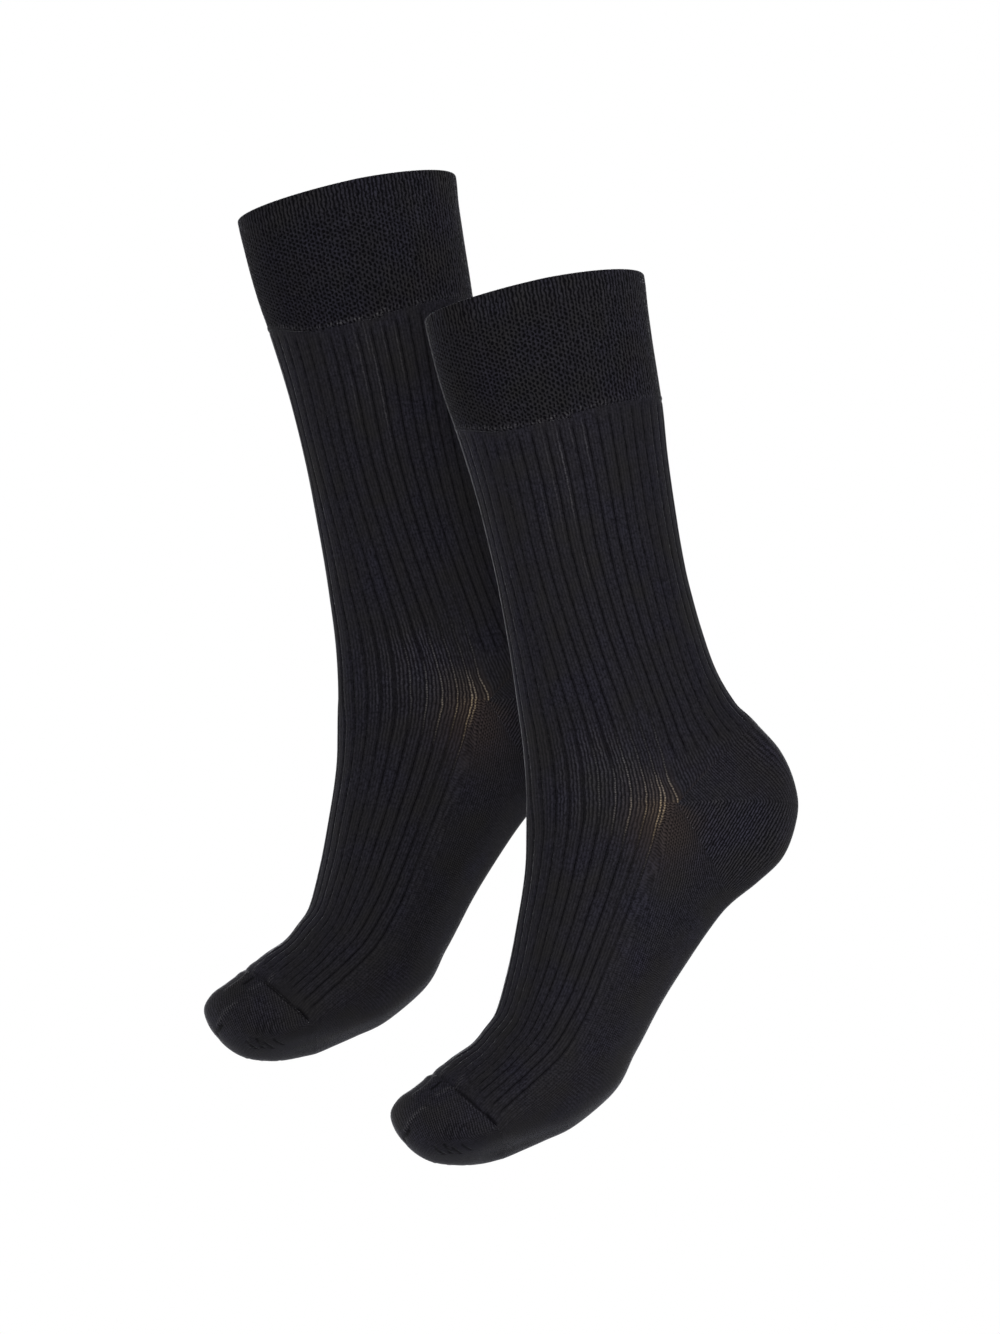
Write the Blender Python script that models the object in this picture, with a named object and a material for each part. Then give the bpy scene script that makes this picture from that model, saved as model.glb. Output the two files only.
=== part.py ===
"""A pair of black ribbed crew socks, each filled out as it is when worn.

Every sock is five knitted stretches, each a thin closed wall of its own:
the cuff, the ribbed leg, the heel pocket, the foot with its ribbed instep
and plain sole, and the toe pocket.  Sizes in the tables are millimetres;
the model is in metres, +Z up, toes towards -X, and the middle of the near
sock's opening is the origin.
"""

from dataclasses import dataclass

import bmesh
import bpy
import numpy as np

MILLIMETRE = 0.001

# ---- driving sizes, in millimetres -----------------------------------------

BODY_WALL = 1.8          # leg, heel, foot and toe, measured at a rib's top
CUFF_WALL = 2.2          # the cuff is knitted double
GROOVE_DEPTH = 0.7       # how far the grooves lie below the ribs
GROOVE_SHARE = 0.18      # half a groove's width as a share of one rib
SEAM_GAP = 0.35          # air left between two neighbouring stretches
POINT_GAP = 0.6          # the same at the points that a pocket turns about

FRONT_RIBS = 22          # ribs from one side, over the front, to the other
BACK_RIBS = 20           # ribs from there, round the back
ALL_RIBS = FRONT_RIBS + BACK_RIBS

FAR_SOCK_PLACE = (-88.5, 115.0, 69.0)    # the far sock, seen from the near one

# ---- the shape, course by course -------------------------------------------
# A course is one round of the knitting.  Seen from the side it is two
# straight lines, from the front to the side line and on to the back, given
# as (x, z).  half_width is its reach to each side, at the side line.
# front_square and back_square say how full its two halves are: 2 is an
# ellipse, and more is squarer.

COURSE_COLUMNS = ("front", "side", "back", "half_width", "front_square", "back_square")

CUFF_COURSES = (
    ((-50.5, -10.0), (5.0, 2.5), (51.0, 11.5), 41.5, 2.0, 2.0),
    ((-43.5, -41.5), (11.0, -32.5), (55.5, -20.0), 40.5, 2.0, 2.0),
    ((-37.0, -62.0), (16.5, -62.0), (59.8, -48.5), 38.5, 2.0, 2.0),
)

LEG_COURSES = (
    ((-37.0, -62.0), (16.5, -62.0), (59.8, -48.5), 38.5, 2.0, 2.0),
    ((-27.0, -94.5), (22.5, -90.5), (62.5, -76.5), 36.0, 2.0, 2.0),
    ((-19.5, -125.5), (28.5, -121.5), (67.0, -107.5), 34.0, 2.0, 2.0),
    ((-13.5, -157.0), (37.0, -152.5), (73.5, -140.0), 32.5, 2.0, 2.0),
    ((-8.0, -188.0), (47.0, -184.0), (82.5, -172.0), 32.5, 2.0, 2.0),
    ((-5.5, -211.5), (56.5, -213.0), (93.5, -191.5), 33.0, 2.0, 2.0),
    ((-4.0, -238.0), (67.0, -245.5), (104.5, -203.0), 33.0, 2.0, 2.1),
)

FOOT_COURSES = (
    ((-4.0, -238.0), (67.0, -245.5), (92.0, -287.0), 33.0, 2.0, 2.2),
    ((-4.0, -246.0), (58.5, -259.0), (88.0, -291.0), 32.5, 2.0, 2.2),
    ((-4.0, -255.0), (50.5, -277.0), (81.5, -299.5), 32.5, 2.0, 2.2),
    ((-4.5, -270.5), (41.0, -300.0), (71.5, -314.5), 34.0, 2.0, 2.2),
    ((-7.5, -293.5), (32.0, -323.0), (60.5, -332.5), 37.0, 2.0, 2.2),
    ((-12.5, -321.5), (21.5, -350.0), (47.5, -357.5), 41.0, 2.0, 2.3),
    ((-18.5, -341.0), (10.5, -368.5), (35.5, -378.5), 43.5, 2.0, 2.4),
    ((-23.0, -347.5), (0.0, -379.0), (19.5, -392.0), 44.0, 2.1, 2.5),
    ((-29.5, -356.0), (-9.0, -387.5), (6.5, -398.0), 43.5, 2.1, 2.6),
    ((-39.5, -363.0), (-14.5, -394.5), (-4.0, -402.0), 42.5, 2.1, 2.6),
    ((-48.5, -370.0), (-18.0, -400.0), (-13.5, -405.0), 41.5, 2.1, 2.6),
)

# A pocket is knitted on half of the needles.  Its courses all start and end
# at the same two points, one on each side, and fan out between them.

POCKET_COLUMNS = ("back", "back_square")

HEEL_FAN = (
    ((104.5, -203.0), 2.1),
    ((115.0, -215.0), 2.1),
    ((121.5, -229.5), 2.2),
    ((123.5, -240.5), 2.2),
    ((122.0, -251.0), 2.2),
    ((116.5, -265.0), 2.2),
    ((104.5, -277.0), 2.2),
    ((92.0, -287.0), 2.2),
)
HEEL_MITRE = (1.0, 0.0)      # the way from the gore point to the heel's tip

TOE_FAN = (
    ((-13.5, -405.0), 2.6),
    ((-25.5, -407.5), 2.5),
    ((-39.0, -409.0), 2.4),
    ((-51.5, -407.5), 2.3),
    ((-61.0, -401.0), 2.2),
    ((-66.0, -394.5), 2.2),
    ((-67.5, -387.0), 2.2),
    ((-64.0, -381.5), 2.2),
    ((-57.5, -377.0), 2.3),
    ((-48.5, -370.0), 2.4),
)
TOE_MITRE = (-1.0, 0.1)      # the way from the seam's end to the toe's tip

FAN_STEPS = 2                # courses made for each step of a fan's table


@dataclass
class Course:
    """One round of the knitting, in millimetres; see the tables above."""
    front: np.ndarray
    side: np.ndarray
    back: np.ndarray
    half_width: float
    front_square: float
    back_square: float


# ---- courses ---------------------------------------------------------------

def read_courses(table):
    """Turn a table's rows into courses."""
    courses = []
    for row in table:
        cells = dict(zip(COURSE_COLUMNS, row))
        for name in ("front", "side", "back"):
            cells[name] = np.array(cells[name])
        courses.append(Course(**cells))
    return courses


def smooth_rows(rows, steps):
    """A Catmull-Rom curve through the rows, with `steps` rows for each gap."""
    padded = np.vstack([2 * rows[0] - rows[1], rows, 2 * rows[-1] - rows[-2]])
    made = []
    for first in range(len(rows) - 1):
        a, b, c, d = padded[first:first + 4]
        for step in range(steps):
            t = step / steps
            made.append(0.5 * (2 * b + (c - a) * t
                               + (2 * a - 5 * b + 4 * c - d) * t ** 2
                               + (3 * b - a - 3 * c + d) * t ** 3))
    made.append(rows[-1])
    return np.array(made)


def read_pocket(table, point, half_width, mitre):
    """The courses of a pocket that fans about a point just inside `point`."""
    cells = [dict(zip(POCKET_COLUMNS, row)) for row in table]
    rows = smooth_rows(np.array([(*cell["back"], cell["back_square"]) for cell in cells]), FAN_STEPS)
    way = np.array(mitre) / np.linalg.norm(mitre)
    apex = np.array(point) + POINT_GAP * way
    return [Course(apex, apex, row[:2], half_width, 2.0, row[2]) for row in rows]


def drawn_in(course, neighbour):
    """The course moved towards its neighbour by the gap that a seam keeps."""
    def moved(start, end):
        length = np.linalg.norm(end - start)
        return start + (end - start) * (SEAM_GAP / length) if length > SEAM_GAP else start
    return Course(moved(course.front, neighbour.front), moved(course.side, neighbour.side),
                  moved(course.back, neighbour.back), course.half_width,
                  course.front_square, course.back_square)


def slants(outline, sides):
    """How much longer than the wall's thickness each course cuts through it.

    A course that meets the outline squarely has 1; one that meets it at an
    angle has 1 over the sine of that angle.
    """
    along = np.gradient(outline, axis=0)
    across = sides - outline
    crossing = np.abs(along[:, 0] * across[:, 1] - along[:, 1] * across[:, 0])
    lengths = np.linalg.norm(along, axis=1) * np.linalg.norm(across, axis=1)
    return lengths / crossing


# ---- points on a course ----------------------------------------------------

def quarter_angles(shares, reach, half_width, square):
    """Angles at the given shares of a quarter section's girth, front or back first."""
    angle = np.linspace(0.0, np.pi / 2, 181)
    run = reach * np.cos(angle) ** (2 / square)
    rise = half_width * np.sin(angle) ** (2 / square)
    girth = np.concatenate([[0.0], np.cumsum(np.hypot(np.diff(run), np.diff(rise)))])
    return np.interp(shares, girth / girth[-1], angle)


def half_section(outline, side, half_width, square, signed_shares, depths, slant):
    """Points of half a course.

    signed_shares run from -1 at the near side, through 0 on the outline, to
    1 at the far side, in shares of the girth.  depths are measured inwards.
    """
    reach = np.linalg.norm(outline - side)
    angle = quarter_angles(np.abs(signed_shares), reach, half_width, square)
    inward = (reach - depths * slant) / reach
    run = np.maximum(np.cos(angle), 0.0) ** (2 / square) * inward
    rise = np.sin(angle) ** (2 / square) * (half_width - depths)
    flat = side + np.outer(run, outline - side)
    return np.column_stack([flat[:, 0], np.sign(signed_shares) * rise, flat[:, 1]])


def course_points(course, ribs, depths, front_slant, back_slant):
    """Points of a course, counted in ribs from its near side over the front."""
    points = np.empty((len(ribs), 3))
    fore = ribs < FRONT_RIBS
    front_shares = 2 * ribs[fore] / FRONT_RIBS - 1
    back_shares = 1 - 2 * (ribs[~fore] - FRONT_RIBS) / BACK_RIBS
    if fore.any():
        points[fore] = half_section(course.front, course.side, course.half_width,
                                    course.front_square, front_shares, depths[fore], front_slant)
    points[~fore] = half_section(course.back, course.side, course.half_width,
                                 course.back_square, back_shares, depths[~fore], back_slant)
    return points


def tube_columns(ribbed):
    """Columns of points all round a tube, of which the first `ribbed` are ribs.

    A rib is a groove's bottom and the rib's two shoulders, and a plain column
    is one point; the first plain one is the last rib's groove.  Gives the
    outer columns in ribs, their depths, and how many outer steps stand over
    each inner step.
    """
    outer, depths, spans = [], [], []
    for rib in range(ALL_RIBS):
        if rib < ribbed:
            outer += [rib, rib + GROOVE_SHARE, rib + 1 - GROOVE_SHARE]
            depths += [GROOVE_DEPTH, 0.0, 0.0]
            spans.append(3)
        else:
            outer.append(rib)
            depths.append(GROOVE_DEPTH if ribbed and rib == ribbed else 0.0)
            spans.append(1)
    return np.array(outer, float), np.array(depths), spans


# ---- walls -----------------------------------------------------------------

def add_face(mesh, corners):
    """Add a face, leaving out a corner that repeats the one before it."""
    kept = [c for i, c in enumerate(corners) if c is not corners[i - 1]]
    if len(kept) > 2:
        mesh.faces.new(kept)


def add_skin(mesh, rows):
    """Faces between each row of points and the next."""
    for upper, lower in zip(rows, rows[1:]):
        for i in range(len(upper) - 1):
            add_face(mesh, [upper[i], upper[i + 1], lower[i + 1], lower[i]])


def add_edge(mesh, outer, inner, spans):
    """Faces across the wall along one of its edges."""
    start = 0
    for i, span in enumerate(spans):
        over = outer[start:start + span + 1]
        add_face(mesh, [inner[i], *over, inner[i + 1]])
        start += span


def close_wall(name, outer_rows, inner_rows, spans):
    """Make one closed object from the rows of its two skins."""
    mesh = bmesh.new()
    made = {}

    def vertex(point):
        key = tuple(np.round(point * 1e4).astype(int))
        if key not in made:
            made[key] = mesh.verts.new(point * MILLIMETRE)
        return made[key]

    outer = [[vertex(point) for point in row] for row in outer_rows]
    inner = [[vertex(point) for point in row] for row in inner_rows]
    add_skin(mesh, outer)
    add_skin(mesh, inner)
    add_edge(mesh, outer[0], inner[0], spans)
    add_edge(mesh, outer[-1], inner[-1], spans)
    bmesh.ops.recalc_face_normals(mesh, faces=mesh.faces)
    data = bpy.data.meshes.new(name)
    mesh.to_mesh(data)
    mesh.free()
    data.shade_smooth()
    data.set_sharp_from_angle(angle=np.radians(30))
    return data


def knit_tube(name, courses, wall, ribbed=0, plain_end=False):
    """A stretch that runs all the way round; plain_end lets its ribs fade out."""
    ribs, depths, spans = tube_columns(ribbed)
    rib_heights = np.ones(len(courses))
    rib_heights[-1] = 0.0 if plain_end else 1.0
    sides = np.array([course.side for course in courses])
    front_slants = slants(np.array([course.front for course in courses]), sides)
    back_slants = slants(np.array([course.back for course in courses]), sides)
    inner_ribs = np.arange(ALL_RIBS, dtype=float)
    inner_depths = np.full(ALL_RIBS, wall)
    outer_rows, inner_rows = [], []
    for course, height, fore, aft in zip(courses, rib_heights, front_slants, back_slants):
        outer = course_points(course, ribs, depths * height, fore, aft)
        inner = course_points(course, inner_ribs, inner_depths, fore, aft)
        outer_rows.append(np.vstack([outer, outer[:1]]))
        inner_rows.append(np.vstack([inner, inner[:1]]))
    return close_wall(name, outer_rows, inner_rows, spans)


def knit_pocket(name, courses, wall):
    """A stretch on the back half alone, whose courses meet at two points."""
    ribs = np.arange(FRONT_RIBS, ALL_RIBS + 1, dtype=float)
    spans = [1] * BACK_RIBS
    back_slants = slants(np.array([course.back for course in courses]),
                         np.array([course.side for course in courses]))
    outer_rows, inner_rows = [], []
    for course, slant in zip(courses, back_slants):
        outer_rows.append(course_points(course, ribs, np.zeros(len(ribs)), 1.0, slant))
        inner_rows.append(course_points(course, ribs, np.full(len(ribs), wall), 1.0, slant))
    return close_wall(name, outer_rows, inner_rows, spans)


# ---- the five stretches ----------------------------------------------------

def cuff_mesh():
    return knit_tube("cuff", read_courses(CUFF_COURSES), CUFF_WALL)


def leg_mesh():
    courses = read_courses(LEG_COURSES)
    courses[0] = drawn_in(courses[0], courses[1])
    return knit_tube("leg", courses, BODY_WALL, ribbed=ALL_RIBS)


def heel_mesh():
    gore = read_courses(LEG_COURSES)[-1]
    courses = read_pocket(HEEL_FAN, gore.side, gore.half_width, HEEL_MITRE)
    courses[0] = drawn_in(courses[0], courses[1])
    return knit_pocket("heel", courses, BODY_WALL)


def foot_mesh():
    courses = read_courses(FOOT_COURSES)
    courses[0] = drawn_in(courses[0], courses[1])
    return knit_tube("foot", courses, BODY_WALL, ribbed=FRONT_RIBS, plain_end=True)


def toe_mesh():
    seam = read_courses(FOOT_COURSES)[-1]
    courses = read_pocket(TOE_FAN, seam.side, seam.half_width, TOE_MITRE)
    courses[0] = drawn_in(courses[0], courses[1])
    courses[-1] = drawn_in(courses[-1], courses[-2])
    return knit_pocket("toe", courses, BODY_WALL)


STRETCHES = {
    "cuff": (cuff_mesh, "cuff_knit"),
    "leg": (leg_mesh, "rib_knit"),
    "heel": (heel_mesh, "plain_knit"),
    "foot": (foot_mesh, "rib_knit"),
    "toe": (toe_mesh, "plain_knit"),
}

KNIT_FINISHES = {
    "cuff_knit": ((0.012, 0.012, 0.015, 1.0), 0.90),
    "rib_knit": ((0.014, 0.014, 0.018, 1.0), 0.88),
    "plain_knit": ((0.013, 0.013, 0.016, 1.0), 0.92),
}


def knit_material(name):
    """A matt black cotton finish."""
    colour, roughness = KNIT_FINISHES[name]
    material = bpy.data.materials.new(name)
    material.use_nodes = True
    shader = material.node_tree.nodes["Principled BSDF"]
    shader.inputs["Base Color"].default_value = colour
    shader.inputs["Roughness"].default_value = roughness
    shader.inputs["Metallic"].default_value = 0.0
    material.diffuse_color = colour
    return material


def clear_scene():
    for item in list(bpy.data.objects):
        bpy.data.objects.remove(item)


def make_pair():
    """Both socks: the same five meshes, placed twice."""
    materials = {name: knit_material(name) for name in KNIT_FINISHES}
    meshes = {}
    for stretch, (make, finish) in STRETCHES.items():
        meshes[stretch] = make()
        meshes[stretch].materials.append(materials[finish])
    for sock, place in (("near", (0.0, 0.0, 0.0)), ("far", FAR_SOCK_PLACE)):
        for stretch, mesh in meshes.items():
            item = bpy.data.objects.new(f"{sock}_{stretch}", mesh)
            item.location = [size * MILLIMETRE for size in place]
            bpy.context.scene.collection.objects.link(item)


clear_scene()
make_pair()
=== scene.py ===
# %% [markdown]
# # A pair of ribbed socks, dressed in knitted cloth
#
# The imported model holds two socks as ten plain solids, five stretches each: the cuff, the leg,
# the heel pocket, the foot and the toe pocket. In this lesson each stretch is made again as a
# thin knitted wall with its ribs, its stitches and its creases, and given a matt cotton finish.
# Nothing is moved or resized: every new wall follows the form of its own solid.

import bpy
import numpy as np
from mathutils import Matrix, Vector


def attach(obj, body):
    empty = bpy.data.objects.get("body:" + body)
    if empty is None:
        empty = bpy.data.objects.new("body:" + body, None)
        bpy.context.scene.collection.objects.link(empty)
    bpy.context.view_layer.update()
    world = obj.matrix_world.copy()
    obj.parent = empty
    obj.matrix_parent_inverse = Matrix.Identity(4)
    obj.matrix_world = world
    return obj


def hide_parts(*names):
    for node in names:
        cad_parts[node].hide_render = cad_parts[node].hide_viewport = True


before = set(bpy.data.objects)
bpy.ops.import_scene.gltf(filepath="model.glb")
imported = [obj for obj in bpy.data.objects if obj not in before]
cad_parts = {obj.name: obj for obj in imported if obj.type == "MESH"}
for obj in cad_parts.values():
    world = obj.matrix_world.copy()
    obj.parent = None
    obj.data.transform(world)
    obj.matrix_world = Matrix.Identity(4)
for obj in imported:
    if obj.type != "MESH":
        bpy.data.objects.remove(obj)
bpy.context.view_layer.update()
print("solids:", sorted(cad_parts))

# %% [markdown]
# ## The shape, course by course
# A sock is knitted in rounds, called courses. Seen from the side, a course is two straight
# lines, from the front to the side line and on to the back. That is easier to edit than a mesh,
# because one row of a table moves a whole round. The tables below are the ones that the solids
# were made from, in millimetres. The last three columns give a course's half width and how
# square its front and back halves are, where 2 is an ellipse.

# %% The course tables
MM = 0.001                  # the tables are millimetres, and Blender's scene is metres
FRONT_RIBS = 22             # ribs from the near side, over the front, to the far side
BACK_RIBS = 20              # ribs from there, round the back
RIBS = FRONT_RIBS + BACK_RIBS
WALES_PER_RIB = 4           # columns of stitches: three on the rib and one in the groove
PLAIN_WALES = 96 / 22       # the same width of sole, heel or toe, which are knitted finer
CUFF_WALES = 152            # all round the cuff, in pairs of one held stitch and one plain
FAR_SOCK_PLACE = np.array([-88.5, 115.0, 69.0])

CUFF_COURSES = np.array([
    (-50.5, -10.0, 5.0, 2.5, 51.0, 11.5, 41.5, 2.0, 2.0),
    (-43.5, -41.5, 11.0, -32.5, 55.5, -20.0, 40.5, 2.0, 2.0),
    (-37.0, -62.0, 16.5, -62.0, 59.8, -48.5, 38.5, 2.0, 2.0),
])
LEG_COURSES = np.array([
    (-27.0, -94.5, 22.5, -90.5, 62.5, -76.5, 36.0, 2.0, 2.0),
    (-19.5, -125.5, 28.5, -121.5, 67.0, -107.5, 34.0, 2.0, 2.0),
    (-13.5, -157.0, 37.0, -152.5, 73.5, -140.0, 32.5, 2.0, 2.0),
    (-8.0, -188.0, 47.0, -184.0, 82.5, -172.0, 32.5, 2.0, 2.0),
    (-5.5, -211.5, 56.5, -213.0, 93.5, -191.5, 33.0, 2.0, 2.0),
    (-4.0, -238.0, 67.0, -245.5, 104.5, -203.0, 33.0, 2.0, 2.1),
])
FOOT_COURSES = np.array([
    (-4.0, -238.0, 67.0, -245.5, 92.0, -287.0, 33.0, 2.0, 2.2),
    (-4.0, -246.0, 58.5, -259.0, 88.0, -291.0, 32.5, 2.0, 2.2),
    (-4.0, -255.0, 50.5, -277.0, 81.5, -299.5, 32.5, 2.0, 2.2),
    (-4.5, -270.5, 41.0, -300.0, 71.5, -314.5, 34.0, 2.0, 2.2),
    (-7.5, -293.5, 32.0, -323.0, 60.5, -332.5, 37.0, 2.0, 2.2),
    (-12.5, -321.5, 21.5, -350.0, 47.5, -357.5, 41.0, 2.0, 2.3),
    (-18.5, -341.0, 10.5, -368.5, 35.5, -378.5, 43.5, 2.0, 2.4),
    (-23.0, -347.5, 0.0, -379.0, 19.5, -392.0, 44.0, 2.1, 2.5),
    (-29.5, -356.0, -9.0, -387.5, 6.5, -398.0, 43.5, 2.1, 2.6),
    (-39.5, -363.0, -14.5, -394.5, -4.0, -402.0, 42.5, 2.1, 2.6),
    (-48.5, -370.0, -18.0, -400.0, -13.5, -405.0, 41.5, 2.1, 2.6),
])
# A pocket's courses fan out from one point at each side: back (x, z), and its squareness.
HEEL_FAN = np.array([
    (104.5, -203.0, 2.1), (115.0, -215.0, 2.1), (121.5, -229.5, 2.2), (123.5, -240.5, 2.2),
    (122.0, -251.0, 2.2), (116.5, -265.0, 2.2), (104.5, -277.0, 2.2), (92.0, -287.0, 2.2),
])
TOE_FAN = np.array([
    (-13.5, -405.0, 2.6), (-25.5, -407.5, 2.5), (-39.0, -409.0, 2.4), (-51.5, -407.5, 2.3),
    (-61.0, -401.0, 2.2), (-66.0, -394.5, 2.2), (-67.5, -387.0, 2.2), (-64.0, -381.5, 2.2),
    (-57.5, -377.0, 2.3), (-48.5, -370.0, 2.4),
])
FRONT, SIDE, BACK = slice(0, 2), slice(2, 4), slice(4, 6)
WIDTH, FRONT_SQUARE, BACK_SQUARE = 6, 7, 8
print(len(CUFF_COURSES) + len(LEG_COURSES) + len(FOOT_COURSES), "courses and two fans")

# %% [markdown]
# ## From a few courses to a smooth surface
# Straight lines between the table's rows would show as facets. A Bezier curve object would
# smooth them, but each rib would need one. A cubic through all the rows at once does it for
# every column of the table in one call, and its slope at a row is the mean of the slopes on
# either side, so neighbouring stretches that share rows also share their slope.


# %% A smooth curve through the rows
def spaced(rows, *columns):
    """How far along the sock each row lies: the mean length of the lines through these columns."""
    steps = [np.linalg.norm(np.diff(rows[:, column], axis=0), axis=1) for column in columns]
    return np.concatenate([[0.0], np.cumsum(np.mean(steps, axis=0))])


def smooth(knots, rows, at):
    """The rows read at any place `at`.

    Between two rows a and b with slopes p and q, the value is
    a(1+2t)(1-t)^2 + p t(1-t)^2 + b t^2(3-2t) + q t^2(t-1), with t from 0 to 1.
    """
    gap = np.diff(knots)
    rise = np.diff(rows, axis=0) / gap[:, None]
    slope = np.vstack([rise[:1], rise, rise[-1:]])
    weight = np.concatenate([[1.0], gap, [1.0]])[:, None]
    slope = (weight[1:] * slope[:-1] + weight[:-1] * slope[1:]) / (weight[1:] + weight[:-1])
    i = np.clip(np.searchsorted(knots, at, side="right") - 1, 0, len(gap) - 1)
    t = ((at - knots[i]) / gap[i])[:, None]
    step = gap[i][:, None]
    return (rows[i] * (1 + 2 * t) * (1 - t) ** 2 + slope[i] * step * t * (1 - t) ** 2
            + rows[i + 1] * t ** 2 * (3 - 2 * t) + slope[i + 1] * step * t ** 2 * (t - 1))


def row_beside(front, side, back, like):
    """A row that only gives its neighbours their slope, where a stretch goes on into others."""
    row = like.copy()
    row[FRONT], row[SIDE], row[BACK] = front, side, back
    return row


tube_rows = np.vstack([CUFF_COURSES, LEG_COURSES, row_beside(
    FOOT_COURSES[1, FRONT], FOOT_COURSES[1, SIDE], HEEL_FAN[1, :2], LEG_COURSES[-1])])
tube_knots = spaced(tube_rows, FRONT, SIDE)
cuff_end, gore_level = tube_knots[len(CUFF_COURSES) - 1], tube_knots[-2]

foot_rows = np.vstack([
    row_beside(LEG_COURSES[-2, FRONT], LEG_COURSES[-2, SIDE], HEEL_FAN[-2, :2], FOOT_COURSES[0]),
    FOOT_COURSES,
    row_beside(TOE_FAN[-2, :2], 1.6 * FOOT_COURSES[-1, SIDE] - 0.6 * FOOT_COURSES[-2, SIDE],
               TOE_FAN[1, :2], FOOT_COURSES[-1])])
foot_knots = spaced(foot_rows, FRONT, SIDE)
foot_knots += gore_level - foot_knots[1]
seam_level = foot_knots[-2]
print(f"cuff {cuff_end:.0f} mm, leg {gore_level - cuff_end:.0f} mm, "
      f"foot {seam_level - gore_level:.0f} mm along the side")

# %% [markdown]
# ## Points all round a course
# Each half of a course is a superellipse: a circle's cosine and sine, raised to a power and
# stretched. Equal steps of angle would bunch the ribs up, so the angle is looked up from the
# girth, and equal steps of girth give ribs of equal width, as on a real sock.


# %% A course as two half superellipses
TURN_STEPS = 241            # angles tried in a quarter of a course
SURFACE_STEP = 0.5          # between the levels at which a surface is worked out
SURFACE_MARGIN = 1.5        # how far it goes on past both its edges


def angle_at(share, reach, half_width, square):
    """The angle that lies at a share of each quarter's girth, measured from the outline."""
    turn = 0.25 * np.pi * (1 - np.cos(np.linspace(0.0, np.pi, TURN_STEPS)))
    power = 2 / square[:, None]
    run = reach[:, None] * np.maximum(np.cos(turn), 0) ** power
    rise = half_width[:, None] * np.sin(turn) ** power
    girth = np.cumsum(np.hypot(np.diff(run), np.diff(rise)), axis=1)
    girth = np.hstack([np.zeros((len(girth), 1)), girth]) / girth[:, -1:]
    lift = 2.0 * np.arange(len(girth))[:, None]      # keeps the rows apart in one long lookup
    angle = np.interp((share + lift).ravel(), (girth + lift).ravel(),
                      np.broadcast_to(turn, girth.shape).ravel())
    return angle.reshape(share.shape)


def course_points(rows, places):
    """Points at each place round each course, as an array (courses, places, xyz).

    A place is counted in ribs of equal width, from 0 at the near side. Point = side +
    (outline - side) cos(angle)^(2/n), at y = width sin(angle)^(2/n), once with the front's
    outline and n, and once with the back's.
    """
    places = np.broadcast_to(places, (len(rows), places.shape[-1]))
    fore = places < FRONT_RIBS
    share = np.where(fore, 2 * places / FRONT_RIBS - 1,
                     1 - 2 * (places - FRONT_RIBS) / BACK_RIBS)
    side, width = rows[:, None, SIDE], rows[:, WIDTH]
    halves = []
    for outline, square in ((rows[:, None, FRONT], rows[:, FRONT_SQUARE]),
                            (rows[:, None, BACK], rows[:, BACK_SQUARE])):
        reach = np.linalg.norm(outline - side, axis=-1)[:, 0]
        angle = angle_at(np.abs(share), reach, width, square)
        power = 2 / square[:, None]
        flat = side + (np.maximum(np.cos(angle), 0) ** power)[..., None] * (outline - side)
        y = np.sign(share) * np.sin(angle) ** power * width[:, None]
        halves.append(np.stack([flat[..., 0], y, flat[..., 1]], axis=-1))
    return np.where(fore[..., None], *halves)


def unit(vectors):
    """The same directions, each one long."""
    return vectors / np.maximum(np.linalg.norm(vectors, axis=-1, keepdims=True), 1e-12)


class Surface:
    """A smooth stretch of sock with fixed columns, read at any level along it.

    places(levels) gives the columns' places round the sock at each level.
    """

    def __init__(self, knots, rows, places, start, end, closed):
        self.levels = np.arange(start - SURFACE_MARGIN, end + SURFACE_MARGIN, SURFACE_STEP)
        self.points = course_points(smooth(knots, rows, self.levels), places(self.levels))
        edge = [self.points[:, -1:], self.points, self.points[:, :1]]
        if not closed:
            edge[0] = 2 * self.points[:, :1] - self.points[:, 1:2]
            edge[2] = 2 * self.points[:, -1:] - self.points[:, -2:-1]
        round_it = np.diff(np.concatenate(edge, axis=1), axis=1)
        round_it = unit(round_it[:, 1:]) + unit(round_it[:, :-1])
        self.down = unit(np.gradient(self.points, axis=0))
        self.out = unit(np.cross(round_it, self.down))

    def read(self, level):
        """Points, outward and downward directions at the levels, a grid (rows, columns)."""
        place = (level - self.levels[0]) / (self.levels[1] - self.levels[0])
        i = np.clip(place.astype(int), 0, len(self.levels) - 2)
        t = (place - i)[..., None]
        column = np.arange(level.shape[1])
        mix = [(1 - t) * field[i, column] + t * field[i + 1, column]
               for field in (self.points, self.out, self.down)]
        return mix[0], unit(mix[1]), unit(mix[2])


print("a course of 8 points:", course_points(tube_rows[:1], np.arange(0, RIBS, RIBS / 8)).shape)

# %% [markdown]
# ## Where the grooves really run
# Grooves at equal shares of the girth would look drawn with a ruler. On a worn sock they swing
# out towards the gore, the corner where leg, heel and foot meet. The outermost groove, number
# 0, ends in that corner, and number 1 swings over to take its place and parts the ribbed
# instep from the plain sole. Each row of the tables is a level, and gives the places that the
# numbered grooves have reached there. The far half of the leg is the near half's mirror image.

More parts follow.
